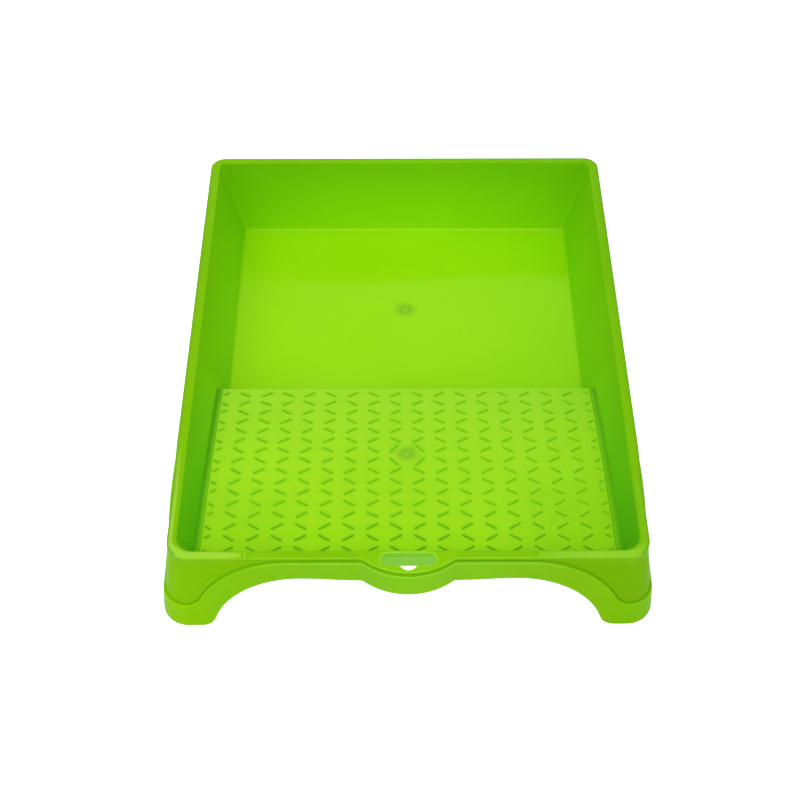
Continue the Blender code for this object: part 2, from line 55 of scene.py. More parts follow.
# ---- driving dimensions, millimetres ----------------------------------------
# rim: outer outline, then the mouth of the well inside it
RIM_Z = 58.0
RIM_HALF_X = 129.1
RIM_FRONT = 162.5
RIM_REAR = 161.0
RIM_R_FRONT = 12.0
RIM_R_REAR = 9.3
MOUTH_HALF_X = 124.2
MOUTH_FRONT = 157.35
MOUTH_REAR = 156.5
MOUTH_R_FRONT = 9.5
MOUTH_R_REAR = 3.5

# thicknesses
FLANGE_T = 1.8
SKIRT_T = 1.5
WALL_T = 1.6
FLOOR_T = 2.0
FLANGE_LOW_Z = RIM_Z - FLANGE_T

# skirt and the thicker band below it: (offset from the rim, growth per mm of depth)
SKIRT_SIDE = (-0.8, 0.155)
SKIRT_FRONT = (-0.3, 0.085)
BAND_SIDE = (2.3, 0.104)
BAND_FRONT = (1.1, 0.077)
SKIRT_STEP = 0.45
CORNER_DRAFT = 0.06
BAND_TOP_Z = 55.2
BAND_LOW_Z = 17.7
SKIRT_LOW_Z = 42.0
TAB_LOW_Z = 40.3

# lip of the rim round the rear; it starts and is full at these distances forward
LIP = 1.0
LIP_SLOPE = 0.085
LIP_START = 119.0
LIP_FULL = 83.0

# tab at the middle of the front, its slot, and the notch in the slot's front edge
TAB_HALF = 24.8
TAB_OUT = 8.9
TAB_ROUND = 1.3
SLOT_HALF = 14.7
SLOT_BACK = 158.75
SLOT_FRONT = 166.9
NOTCH_HALF = 4.3
NOTCH_FRONT = 169.6

# floor, riser and ramp
FLOOR_Z = 2.0
FLOOR_HALF_X = 111.8
FLOOR_REAR = 150.7
FOOT_R_REAR = 1.8
FLOOR_FILLET = 2.0
RAMP_FILLET = 0.5
REAR_FILLET = 1.3
RISER_FOOT_Y = -4.5
RAMP_BACK_Y = -13.2
RAMP_BACK_Z = 22.0
RAMP_RISE = 23.8
RAMP_CROWN = 3.0
RAMP_FRONT = 155.3
RAMP_HALF_X = 115.8
FOOT_R_FRONT = 5.0

# raised ledge along each side of the ramp
LEDGE_W = 3.2
LEDGE_STEP = 0.5
LEDGE_H = 0.8
LEDGE_END = 148.0
LEDGE_TAPER = 1.0
LEDGE_START = 0.3 - RAMP_BACK_Y

# ribs on the ramp; RIB_EASE shifts single rows
RIB_PITCH_X = 13.1
RIB_PITCH_Y = 8.60
RIB_FIRST_Y = -19.75
RIB_ROWS = 16
RIB_EASE = {8: -0.3, 9: -0.3, 14: 0.35, 15: 0.85}
RIB_COLS = 16
RIB_SPAN_X = 6.35
RIB_SPAN_Y = 4.1
RIB_W = 1.15
RIB_H = 0.85
PLATE_HALF_X = 112.0

# arches of the skirt's lower edge, and the two arcs of the band's upper edge
ARCH_R = 50.5
ARCH_MID = 58.3
TOE_R = 9.0
SIDE_ARCH_R = 58.0
SIDE_ARCH_MID = 64.0
SIDE_TOE_R = 6.0
BAND_CURVE_FRONT = (64.0, 55.0, 125.5)
BAND_CURVE_SIDE = (83.0, 45.0, 158.0)

# gate marks (x, y), and the x of the two witness lines across the front rim
GATES = ((0.3, 72.9), (0.1, -74.5))
TICKS = (-86.8, 68.9)
TICK_HALF = 0.3
TICK_H = 0.16
STRIP_H = 0.10


# ---- shape functions ----------------------------------------------------------
def smooth(t):
    t = min(1.0, max(0.0, t))
    return t * t * (3 - 2 * t)


def rise(value, start, over):
    """Smooth step from 0 at start to 1 a distance over beyond it."""
    return smooth((value - start) / over)


def fall(value, start, over):
    return 1 - rise(value, start, over)


def bezier(start, corner, end, t):
    return start * (1 - t) ** 2 + 2 * corner * t * (1 - t) + end * t * t


def tab(x):
    """Forward bulge of the tab: an arc whose ends run into the rim smoothly."""
    x = abs(x)
    radius = (TAB_HALF ** 2 + TAB_OUT ** 2) / (2 * TAB_OUT)
    if x >= TAB_HALF + TAB_ROUND:
        return 0.0
    if x <= TAB_HALF - TAB_ROUND:
        return math.sqrt(radius * radius - x * x) - (radius - TAB_OUT)
    join_x = TAB_HALF - TAB_ROUND
    root = math.sqrt(radius * radius - join_x * join_x)
    join_y = root - (radius - TAB_OUT)
    slope = -join_x / root
    width = 2 * TAB_ROUND
    t = (x - join_x) / width
    return join_y * (1 + 2 * t) * (1 - t) ** 2 + slope * width * t * (1 - t) ** 2


def ramp_z(y):
    t = (RAMP_BACK_Y - y) / (RAMP_FRONT + RAMP_BACK_Y)
    return RAMP_BACK_Z + RAMP_RISE * t + 4 * RAMP_CROWN * t * (1 - t)


def raw_base_z(y):
    if y >= RISER_FOOT_Y:
        return FLOOR_Z
    if y >= RAMP_BACK_Y:
        t = (RISER_FOOT_Y - y) / (RISER_FOOT_Y - RAMP_BACK_Y)
        return FLOOR_Z + t * (RAMP_BACK_Z - FLOOR_Z)
    return ramp_z(y)


def rounded(height, corner, reach):
    """height(y) with its corner at y = corner eased over +-reach."""
    low, high = height(corner - reach), height(corner + reach)
    middle = height(corner)

    def eased(y):
        if abs(y - corner) >= reach:
            return height(y)
        return bezier(low, middle, high, (y - corner + reach) / (2 * reach))
    return eased


base_z = rounded(rounded(raw_base_z, RISER_FOOT_Y, 1.3), RAMP_BACK_Y, 0.45)

# the riser's underside is its top face moved FLOOR_T along the normal
RISER_SLOPE = (RAMP_BACK_Z - FLOOR_Z) / (RISER_FOOT_Y - RAMP_BACK_Y)
UNDER_DY = FLOOR_T * RISER_SLOPE / math.hypot(1.0, RISER_SLOPE)
UNDER_DZ = FLOOR_T / math.hypot(1.0, RISER_SLOPE)


def riser_under(y):
    return FLOOR_Z - UNDER_DZ + RISER_SLOPE * (RISER_FOOT_Y - UNDER_DY - y)


def find_under_edge():
    """y where the undersides of riser and ramp meet, by bisection."""
    low, high = RAMP_BACK_Y - 4.0, RAMP_BACK_Y
    for _ in range(40):
        middle = 0.5 * (low + high)
        if riser_under(middle) > ramp_z(middle) - FLOOR_T:
            low = middle
        else:
            high = middle
    return low


UNDER_FOOT_Y = RISER_FOOT_Y - UNDER_DY + (FLOOR_Z - UNDER_DZ) / RISER_SLOPE
UNDER_EDGE_Y = find_under_edge()


def raw_under_z(y):
    if y >= UNDER_FOOT_Y:
        return FLOOR_Z - FLOOR_T
    if y >= UNDER_EDGE_Y:
        return riser_under(y)
    return ramp_z(y) - FLOOR_T


under_z = rounded(rounded(raw_under_z, UNDER_FOOT_Y, 0.5), UNDER_EDGE_Y, 0.8)


def foot_half_x(y):
    """Half width of the well where its side walls meet the base."""
    z = base_z(y)
    half = MOUTH_HALF_X - (MOUTH_HALF_X - FLOOR_HALF_X) * (RIM_Z - z) / (RIM_Z - FLOOR_Z)
    return min(half, RAMP_HALF_X) if y < RAMP_BACK_Y else half


def ledge_h(y):
    return LEDGE_H * rise(-y, LEDGE_START, 1.0) * fall(-y, LEDGE_END, LEDGE_TAPER)


def arch_z(u, mid, radius, toe, low):
    """Skirt's lower edge: level up to mid, then an arc down and a toe to the ground."""
    centre_z = low - radius
    toe_u = mid + math.sqrt((radius + toe) ** 2 - (toe - centre_z) ** 2)
    join_u = mid + (toe_u - mid) * radius / (radius + toe)
    if u <= mid:
        return low
    if u <= join_u:
        return centre_z + math.sqrt(max(0.0, radius ** 2 - (u - mid) ** 2))
    if u <= toe_u:
        return toe - math.sqrt(max(0.0, toe ** 2 - (toe_u - u) ** 2))
    return 0.0


def bottom_front(x):
    x = abs(x)
    if x > ARCH_MID:
        return arch_z(x, ARCH_MID, ARCH_R, TOE_R, SKIRT_LOW_Z)
    return TAB_LOW_Z + (SKIRT_LOW_Z - TAB_LOW_Z) * rise(x, TAB_HALF, ARCH_MID - TAB_HALF)


def band_curve(u, start, radius, low_u):
    """Band's upper edge: two tangent arcs from its top at start to its low end at low_u."""
    centre_z = BAND_TOP_Z - radius
    drop = BAND_LOW_Z - centre_z
    low_r = ((low_u - start) ** 2 + drop ** 2 - radius ** 2) / (2 * (radius - drop))
    join_u = start + (low_u - start) * (radius / (radius + low_r))
    if u <= start:
        return BAND_TOP_Z
    if u <= join_u:
        return centre_z + math.sqrt(max(0.0, radius ** 2 - (u - start) ** 2))
    if u <= low_u:
        return BAND_LOW_Z + low_r - math.sqrt(max(0.0, low_r ** 2 - (low_u - u) ** 2))
    return BAND_LOW_Z


# ---- stations round the perimeter ---------------------------------------------
# A station is (side, along). Along is x on the front and rear, y on the left and
# right, and 0 to 1 on the corner arcs fr, rr, rl and fl (front right and so on).
LEG_R = 15.5
X_END = RIM_HALF_X + BAND_SIDE[0] + BAND_SIDE[1] * RIM_Z - LEG_R
Y_END = RIM_FRONT + BAND_FRONT[0] + BAND_FRONT[1] * RIM_Z - LEG_R
Y_KEEP = 135.6  # forward of this the side stations are stretched to the corners
STRETCH = (Y_END - Y_KEEP) / (RAMP_FRONT - FOOT_R_FRONT - Y_KEEP)
N_FRONT = 16
N_REAR = 10
TICK_STEPS = (-0.8, -0.45, -0.3, -0.15, 0.0, 0.15, 0.3, 0.45, 0.8)
FRONT_SIDES = ("front", "fr", "fl")
LONG_SIDES = ("left", "right")


def spaced(start, end, step):
    count = max(1, int(math.ceil(abs(end - start) / step - 1e-9)))
    return [start + (end - start) * i / count for i in range(count)]


def front_values():
    """x of the front stations, closer at the tab's ends and at the witness lines."""
    half = spaced(0, 22.8, 2.0) + spaced(22.8, 26.8, 0.4)
    half += spaced(26.8, 100, 2.0) + spaced(100, X_END - 0.7, 1.2)
    values = [-v for v in half if v > 0] + half
    for tick in TICKS:
        values = [v for v in values if abs(v - tick) > 1.0]
        values += [tick + step for step in TICK_STEPS]
    return sorted(values)


def side_values():
    """Station values whose foot points lie at the wanted y."""
    feet = spaced(-149.9, -147.3, 0.35) + spaced(-147.3, -20, 2.4)
    feet += spaced(-20, -1.5, 0.45) + spaced(-1.5, 142, 3.0) + [142.0]
    return [y if y > -Y_KEEP else -(Y_KEEP + (-y - Y_KEEP) * STRETCH) for y in feet]


side_y = side_values()
rear_x = [-x for x in spaced(-138.0, 138.0, 4.0) if abs(x) < 108.5]
front_arc = [i / N_FRONT for i in range(N_FRONT + 1)]
rear_arc = [i / N_REAR for i in range(N_REAR + 1)]

stations = []
first = {}  # index of each side's first station
for part, values in (("front", front_values()), ("fr", front_arc), ("right", side_y),
                     ("rr", rear_arc), ("rear", rear_x), ("rl", rear_arc),
                     ("left", side_y[::-1]), ("fl", front_arc)):
    first[part] = len(stations)
    stations += [(part, value) for value in values]
COUNT = len(stations)


def place(station, half, front, rear, front_r, rear_r, bulge=0.0, keep=100.0):
    """Station's x, y on a rounded rectangle; front stations past x = keep are stretched."""
    side, along = station
    if side == "front":
        x = along
        if abs(x) > keep:
            stretched = (abs(along) - keep) * ((half - front_r) - keep) / (X_END - keep)
            x = math.copysign(keep + stretched, along)
        return x, -front - bulge * tab(x)
    if side in LONG_SIDES:
        y = along
        if y < -Y_KEEP:
            y = -Y_KEEP + (along + Y_KEEP) * ((front - front_r) - Y_KEEP) / (Y_END - Y_KEEP)
        return half if side == "right" else -half, y
    if side == "rear":
        return along, rear
    angle = 0.5 * math.pi * along
    sin, cos = math.sin(angle), math.cos(angle)
    if side == "fr":
        return half - front_r + front_r * sin, -front + front_r - front_r * cos
    if side == "rr":
        return half - rear_r + rear_r * cos, rear - rear_r + rear_r * sin
    if side == "rl":
        return -half + rear_r - rear_r * sin, rear - rear_r + rear_r * cos
    return -half + front_r - front_r * cos, -front + front_r - front_r * sin


def skirt_low(station):
    """z of the skirt's lower edge."""
    side, along = station
    if side == "front":
        return bottom_front(along)
    if side in LONG_SIDES:
        return arch_z(-along, SIDE_ARCH_MID, SIDE_ARCH_R, SIDE_TOE_R, SKIRT_LOW_Z)
    return 0.0 if side in FRONT_SIDES else SKIRT_LOW_Z


def band_top(station):
    """z of the band's upper edge."""
    side, along = station
    if side == "front":
        return band_curve(abs(along), *BAND_CURVE_FRONT)
    if side in LONG_SIDES:
        return band_curve(-along, *BAND_CURVE_SIDE)
    if side in FRONT_SIDES:
        arc = 0.5 * math.pi * LEG_R
        t = along if side == "fr" else 1 - along
        return max(band_curve(X_END + arc * t, *BAND_CURVE_FRONT),
                   band_curve(Y_END + arc * (1 - t), *BAND_CURVE_SIDE))
    return BAND_TOP_Z


def lip(station):
    side, along = station
    if side in FRONT_SIDES:
        return 0.0
    if side in LONG_SIDES:
        return rise(along, -LIP_START, LIP_START - LIP_FULL)
    return 1.0


# ---- corners of the profile -----------------------------------------------------
def skirt(station, z, band, inset=0.0):
    depth = RIM_Z - z
    share = lip(station)
    side, front = (BAND_SIDE, BAND_FRONT) if band else (SKIRT_SIDE, SKIRT_FRONT)
    rear = LIP + LIP_SLOPE * depth
    step = 0.0 if band else SKIRT_STEP
    side_out = (1 - share) * (side[0] + side[1] * depth) + share * (rear - step) - inset
    front_out = front[0] + front[1] * depth - inset
    rear_out = rear - LIP - step - inset
    x, y = place(station, RIM_HALF_X + side_out, RIM_FRONT + front_out, RIM_REAR + rear_out,
                 RIM_R_FRONT + CORNER_DRAFT * depth - inset, RIM_R_REAR + rear_out,
                 bulge=1.0, keep=112.0)
    return x, y, z


def edge(station, z):
    x, y = place(station, RIM_HALF_X + LIP * lip(station), RIM_FRONT, RIM_REAR,
                 RIM_R_FRONT, RIM_R_REAR, bulge=1.0, keep=112.0)
    return x, y, z


def mouth(station, z, out=0.0):
    x, y = place(station, MOUTH_HALF_X + out, MOUTH_FRONT + out, MOUTH_REAR + out,
                 MOUTH_R_FRONT + out, MOUTH_R_REAR + out)
    return x, y, z


def side_foot(station):
    """Sign of x, and y, where the wall of a left or right station meets the base."""
    return place(station, 1.0, RAMP_FRONT, FLOOR_REAR, FOOT_R_FRONT, 1.0)


def wall_foot(station):
    side, _ = station
    if side in LONG_SIDES:
        sign, y = side_foot(station)
        return sign * foot_half_x(y), y, base_z(y) + ledge_h(y)
    half = RAMP_HALF_X if side in FRONT_SIDES else FLOOR_HALF_X
    x, y = place(station, half, RAMP_FRONT, FLOOR_REAR, FOOT_R_FRONT, FOOT_R_REAR)
    return x, y, base_z(max(y, -RAMP_FRONT))


def foot_fillet(station):
    """Size of the fillet between wall and base."""
    side, _ = station
    if side in LONG_SIDES:
        _, y = side_foot(station)
        return RAMP_FILLET + (FLOOR_FILLET - RAMP_FILLET) * rise(y, RAMP_BACK_Y + 1, 6.0)
    return RAMP_FILLET if side in FRONT_SIDES else REAR_FILLET


def base_edge(station):
    """Border of the base, 1 mm in from the wall on the ramp and up to 3.4 mm on the floor."""
    side, _ = station
    if side in LONG_SIDES:
        sign, y = side_foot(station)
        margin = 1.0 + 2.4 * rise(y, RAMP_BACK_Y + 1, 6.0)
        return sign * (foot_half_x(y) - margin), y, base_z(y) + ledge_h(y)
    if side in FRONT_SIDES:
        x, y = place(station, RAMP_HALF_X - 1.0, RAMP_FRONT - 1.0, FLOOR_REAR,
                     FOOT_R_FRONT - 1.0, 1)
        return x, y, ramp_z(y)
    x, y = place(station, FLOOR_HALF_X - 3.4, RAMP_FRONT, FLOOR_REAR - 2.4, 1, 0.5)
    return x, y, FLOOR_Z


def outer_half(foot_half, foot_z, drop):
    """Half width outside the sloping side walls, a drop below their foot."""
    slope = (MOUTH_HALF_X - foot_half) / (RIM_Z - foot_z)
    return foot_half + WALL_T * math.hypot(1, slope) - slope * drop


def under_edge(station, inset=0.0):
    side, along = station
    if side in LONG_SIDES:
        sign, y = side_foot(station)
        z = under_z(y)
        return sign * (outer_half(foot_half_x(y), base_z(y), base_z(y) - z) - inset), y, z
    if side in FRONT_SIDES:
        half = outer_half(RAMP_HALF_X, ramp_z(-150.0), FLOOR_T)
        x, y = place(station, half - inset, RAMP_FRONT + WALL_T - 0.3 - inset, 0,
                     FOOT_R_FRONT + 1.0 - inset, 1)
        # behind the tab the wall runs a little below the ramp as a bead
        bead = 0.0 if inset or side != "front" else 2.7 * fall(abs(along), 19.0, 6.0)
        return x, y, ramp_z(max(y, -RAMP_FRONT)) - FLOOR_T - bead
    half = outer_half(FLOOR_HALF_X, FLOOR_Z, FLOOR_T)
    x, y = place(station, half - inset, 0, FLOOR_REAR + WALL_T - 0.2 - inset, 1,
                 max(0.5, FOOT_R_REAR + WALL_T - inset))
    return x, y, 0.0


def skirt_above_band(station, gap, limit, inset):
    """Skirt point a gap above the band's edge, at least limit below the flange."""
    return skirt(station, min(band_top(station) + gap, FLANGE_LOW_Z - limit), False, inset)


# point function, corner rounding, rounding segments, steps to the next corner, name
PROFILE = [
    (lambda station: under_edge(station, 3.0), 0.0, 0, 1, "under"),
    (under_edge, 1.5, 4, 4, "wall_out"),
    (lambda station: mouth(station, FLANGE_LOW_Z, WALL_T), 0.4, 2, 2, "under_rim"),
    (lambda station: skirt(station, FLANGE_LOW_Z, False, SKIRT_T), 0.35, 2, 3, "skirt_in"),
    (lambda station: skirt_above_band(station, 0.5, 0.5, SKIRT_T), 0.2, 2, 1, "skirt_in"),
    (lambda station: skirt(station, band_top(station) - 0.9, True, SKIRT_T),
     0.2, 2, 4, "skirt_in"),
    (lambda station: skirt(station, skirt_low(station), True, SKIRT_T), 0.35, 2, 1, "skirt_low"),
    (lambda station: skirt(station, skirt_low(station), True), 0.4, 3, 9, "band"),
    (lambda station: skirt(station, band_top(station) - 0.3, True), 0.42, 3, 1, "band_edge"),
    (lambda station: skirt_above_band(station, 0.45, 0.85, 0.3), 0.28, 2, 1, "groove"),
    (lambda station: skirt_above_band(station, 1.3, 0.35, 0.05), 0.22, 2, 8, "skirt"),
    (lambda station: skirt(station, FLANGE_LOW_Z, False), 0.1, 2, 1, "skirt_top"),
    (lambda station: edge(station, FLANGE_LOW_Z + 0.4), 0.18, 2, 1, "edge"),
    (lambda station: edge(station, RIM_Z), 0.75, 5, 12, "rim"),
    (lambda station: mouth(station, RIM_Z), 0.85, 5, 14, "wall"),
    (wall_foot, foot_fillet, 6, 1, "foot"),
    (base_edge, 0.0, 0, 0, "base"),
]


# ---- tones: painted light and shade for each part ---------------------------------
# Each returns scales for red, green and blue, and a gloss. The colour scales are
# painted light and shade: the floor and the ramp are thin and get a painted glow; the
# rim and the skirts stand over a hollow and get painted shade, and the lower ends of
# the side walls beside the ramp get the deepest painted shade. The weights inside are
# shares of colour gained or lost towards the named places.
def leftness(x):
    return fall(x / 100.0, -1.0, 2.0)


# Painted glow of the thin floor and ramp: red and green raised, a little less to the right, at
# the front, near the sides of the ramp's front half and on the riser. The gloss is lower at the
# front, on the floor's left and on the ramp's right.
def base_tone(x, y, z):
    u = x / 100.0
    ramp = rise(-y, 2.0, 12.0)
    front = rise(-y, 140.0, 12.0)
    riser = fall(abs(y - 1.0), 0.0, 8.0)
    side = rise(abs(x), 45.0, 40.0) * rise(-y, 85.0, 35.0)
    dull_left = 0.45 * rise(-x, 62.0, 18.0) * (1 - ramp)
    dull_right = 0.35 * rise(x, 70.0, 25.0) * ramp
    dull = min(0.6, dull_left + dull_right + 0.40 * rise(-y, 126.0, 14.0))
    red = (1.18 - 0.05 * u) * (1 - ramp) + (1.19 - 0.09 * u) * ramp
    green = 1.06 * (1 - ramp) + (1.02 - 0.04 * u) * ramp
    return (red * (1 - 0.06 * front - 0.11 * side) * (1 - 0.03 * riser),
            green * (1 - 0.04 * front - 0.07 * side), 1.0, 1.0 - dull)


# Painted shade on the ledge beside the ramp, a little lighter on the left.
def ledge_tone(x, y, z):
    return 0.58 + 0.05 * leftness(x), 0.765 + 0.030 * leftness(x), 1.0, 0.2


# Painted shade on the ledge's step, lighter on the left.
def ledge_step_tone(x, y, z):
    return 0.38 + 0.11 * leftness(x), 0.61 + 0.14 * leftness(x), 1.0, 0.3


# Painted shade in the crease between side wall and ledge, deeper on the left.
def crease_tone(x, y, z):
    return 0.40 - 0.09 * leftness(x), 0.60 - 0.06 * leftness(x), 1.0, 0.2


def wall_depth(y, z):
    """0 at the rim, 1 at the foot of the wall."""
    return min(1.0, max(0.0, (RIM_Z - z) / (RIM_Z - max(base_z(y), FLOOR_Z))))


# Painted shade on the rear wall, lighter towards its foot and a little in its middle.
def rear_wall_tone(x, y, z):
    depth = wall_depth(y, z)
    middle = fall(abs(x), 10.0, 70.0)
    return ((0.58 + 0.52 * depth) * (1 + 0.07 * middle),
            (0.72 + 0.31 * depth) * (1 + 0.03 * middle), 1.0, 0.15)


# Painted shade on the side walls: deeper forward, on the right and low down at the front right,
# and lighter towards the foot at the rear.
def wall_tone(x, y, z):
    depth = wall_depth(y, z)
    forward = rise(-y, 0.0, 150.0)
    front = rise(-y, 60.0, 50.0)
    right = 0.05 * rise(x / 100.0, -1.0, 2.0) * rise(-y, -20.0, 60.0)
    low = rise(-y, 100.0, 40.0) * smooth(x / 100.0)
    green = 0.735 + 0.11 * front + (0.18 - 0.14 * front) * depth
    green *= (1 - 0.25 * rise(-y, 25.0, 130.0)) * (1 - right) * (1 - 0.07 * low)
    red = 0.63 + 0.16 * front + (0.15 - 0.30 * front) * depth
    red *= (1 - 0.50 * forward) * (1 - 1.5 * right) * (1 - (0.04 + 0.10 * depth) * low)
    return red, green, 1.0, 0.15


# Painted shade on the rim, which stands over a hollow: less at the front and on the tab, more to
# the right, with less red towards the rear.
def rim_tone(x, y, z):
    u = x / 100.0
    front = rise(-y, 150.0, 8.0)
    rear = rise(y, 130.0, 20.0)
    rear_half = rise(y, 10.0, 50.0)
    middle = fall(abs(x), 10.0, 70.0)
    on_tab = 0.06 * front * fall(abs(x), 22.0, 8.0)
    red = 0.75 - 0.035 * u + 0.05 * front - 0.01 * rear - 0.06 * rear_half
    red -= 0.035 * rise(y, -90.0, 60.0) * (1 - rear)
    green = 0.695 - 0.015 * u + 0.05 * front + 0.03 * rear * middle - 0.03 * rear_half
    return red + on_tab, green + on_tab, 1.0, 0.15


# Painted shade on the band and the skirt's lower edge: lighter at the left end, darker at the
# right end and towards both ends. The blue raised at the middle is a painted reflection of the
# pale table.
def band_tone(x, y, z):
    u = x / 100.0
    end = rise(abs(x), 105.0, 12.0)
    tint = end if x < 0 else -end
    outward = rise(abs(x), 30.0, 30.0)
    red = 0.86 + 0.05 * tint - 0.02 * u - 0.015 * outward
    green = 0.83 + 0.02 * tint - 0.03 * u * (1 - end) - 0.02 * u * end - 0.035 * outward
    return red, green, 2.6 - 2.2 * rise(abs(x), 45.0, 60.0), 0.16 * (1 - 0.6 * end)


# Painted light on the faces under the rim and inside the skirts, pale and bluish behind the tab.
def inside_tone(x, y, z):
    behind_tab = fall(abs(x), 20.0, 8.0) if y < -150 else 0.0
    return 0.95 + 0.20 * behind_tab, 0.90 + 0.06 * behind_tab, 1.0 + 19.0 * behind_tab, 0.2


# Painted shade on the skirt, its groove and the underside, lighter on the left.
def skirt_tone(x, y, z):
    u = x / 100.0
    return 0.74 - 0.06 * u, 0.71 - 0.05 * u, 0.8, 0.02


TONES = {
    "under": skirt_tone, "wall_out": inside_tone, "under_rim": inside_tone,
    "skirt_in": inside_tone, "skirt_low": band_tone, "band": band_tone,
    "band_edge": band_tone, "groove": skirt_tone, "skirt": skirt_tone,
    "skirt_top": rim_tone, "edge": rim_tone, "rim": rim_tone, "wall": wall_tone,
    "rear_wall": rear_wall_tone, "base": base_tone, "crease": crease_tone,
    "ledge": ledge_tone, "ledge_step": ledge_step_tone,
}

# A point of the loft: its profile corner's name, how far across to the next corner
# it lies, how far round its own corner, and the slope there of the band's upper edge.
Spot = namedtuple("Spot", "name across turn station slope x y z")


def on_rear_wall(station):
    side, along = station
    return side == "rear" or (side == "rr" and along > 0.5) or (side == "rl" and along < 0.5)


def on_front(station):
    side, along = station
    return side == "front" or (side == "fr" and along < 0.4) or (side == "fl" and along > 0.6)


# Painted light and shade at a loft point, blended where parts meet.
def shell_tone(spot):
    def tone(part):
        if part == "wall" and on_rear_wall(spot.station):
            part = "rear_wall"
        return np.array(TONES[part](spot.x, spot.y, spot.z))

    def blend(start, end, share):
        return tone(start) * (1 - share) + tone(end) * share

    name, turn = spot.name, spot.turn
    if name in ("foot", "base") and spot.station[0] in LONG_SIDES and ledge_h(spot.y) > 0.3:
        if name == "foot" and turn < 0.6:
            return blend("wall", "crease", min(1.0, 0.75 + 2.0 * turn))
        return blend("crease", "ledge", 0.2 if name == "base" else 0.2 * turn)
    if name == "wall" and spot.across == 0:
        return blend("rim", "wall", turn)
    if name == "foot":
        return blend("wall", "base", turn)
    return tone(name)


# ---- marks: strengths of the painted highlights, shade and glow on the mesh ---------
def strip_span(station):
    """How far across the flat of the rim the track reaches, 0 outer edge, 1 mouth."""
    side, along = station
    if side == "front":
        q = min(1.0, max(0.0, (TICKS[0] - 1.2 - along) / 7.0)) if along < 0 else 1.0
        return 0.36 * (1 - q), 0.66 + 0.27 * q
    if side in FRONT_SIDES:
        t = along if side == "fr" else 1 - along
        return 0.0, 0.93 - 0.33 * smooth(t)
    return 0.02, 0.60


def strip_strength(station, x, y):
    """Strength of the slightly raised track on the rim near the front corners, and of the
    painted highlight on it.
    """
    side, along = station
    if side == "front":
        if x < TICKS[0]:
            return rise(-x, 0.9 - TICKS[0], 2.0)
        return 0.30 + 0.32 * rise(x, TICKS[1] + 1.0, 16.0) if x > TICKS[1] else 0.0
    if side == "fl":
        return 1.0
    if side == "fr":
        return 0.62 - 0.47 * smooth(along)
    if side == "left":
        return rise(-y, 74.0, 50.0)
    return 0.15 * rise(-y, 74.0, 60.0) if side == "right" else 0.0


# Strength of the raised track and of its painted highlight at a loft point.
def strip_mark(spot):
    if spot.name != "rim" or (spot.across == 0 and spot.turn < 1):
        return 0.0
    low, high = strip_span(spot.station)
    across = rise(spot.across, low - 0.10, 0.12) * fall(spot.across, high - 0.05, 0.12)
    return strip_strength(spot.station, spot.x, spot.y) * across


def edge_shade_mark(spot):
    """Painted shade along the rim's outer edge, weaker at the front."""
    front = on_front(spot.station)
    if spot.name == "edge":
        return 0.25 if front else 1.0
    if spot.name != "rim":
        return 0.0
    if spot.across == 0:
        return 0.25 * max(0.0, 1.15 - 1.2 * spot.turn) if front else 1.0
    return 0.0 if front else 0.9 * max(0.0, 1.0 - spot.across / 0.26)


def on_tick_flat(spot):
    """On the flat of the front rim, which the witness lines cross."""
    return (spot.name == "rim" and spot.station[0] == "front"
            and (spot.across > 0 or spot.turn > 0.4))


def groove_shade_mark(spot):
    """Painted shade in the groove above the band, beside the left witness line and along the
    right one.
    """
    side, along = spot.station
    if on_tick_flat(spot):
        if 0.40 < abs(spot.x - TICKS[0]) < 0.9:
            return 1.0
        if abs(spot.x - TICKS[1]) < 0.32:
            return 0.8
    if spot.name == "groove":
        return 0.62 + 0.38 * rise(abs(along), 24.0, 6.0) if side == "front" else 1.0
    if spot.name == "band_edge" and spot.turn > 0.7:
        return 0.5
    if spot.name == "skirt" and spot.across == 0 and spot.turn < 0.6:
        return 0.7
    return 0.0


def glint_mark(spot):
    """Bright lines on rounded edges and on the left witness line."""
    turn = spot.turn
    if (spot.name == "rim" and on_front(spot.station) and spot.across == 0
            and 0.1 < turn < 0.9):
        return 0.45
    if on_tick_flat(spot) and abs(spot.x - TICKS[0]) < 0.32:
        return 1.6
    if spot.name == "foot" and spot.station[0] == "rear" and 0.2 < turn < 0.9:
        return 0.5
    if spot.name == "band_edge" and turn < 0.95:
        level = fall(spot.slope, 0.10, 0.35)
        return (0.25 + 0.75 * level) * (1 - abs(2 * turn - 0.9))
    return 0.0


def glow_mark(spot):
    """Light through the skin from the far side, stronger round the tab."""
    if spot.name not in ("skirt_in", "under_rim", "wall_out", "under"):
        return 0.0
    return 0.14 + 0.17 * (fall(abs(spot.x), 22.0, 8.0) if spot.y < -150 else 0.0)


MARKS = {"strip": strip_mark, "edge_shade": edge_shade_mark, "groove": groove_shade_mark,
         "glint": glint_mark, "glow": glow_mark}


def rim_lift(spot, strip):
    """Height added to the rim by the witness lines and the track."""
    if spot.name != "rim" or not (spot.across > 0 or spot.turn > 0.5):
        return 0.0
    height = STRIP_H * strip
    if spot.station[0] == "front":
        for tick in TICKS:
            height += TICK_H * max(0.0, 1 - abs(spot.x - tick) / TICK_HALF)
    return height


# ---- the shell ------------------------------------------------------------------
def cut_back(corner, toward, size):
    """Points size away from the corner, at most 45 % of the way to the next one."""
    leg = toward - corner
    length = np.linalg.norm(leg, axis=1)
    return corner + leg / length[:, None] * np.minimum(size, 0.45 * length)[:, None]


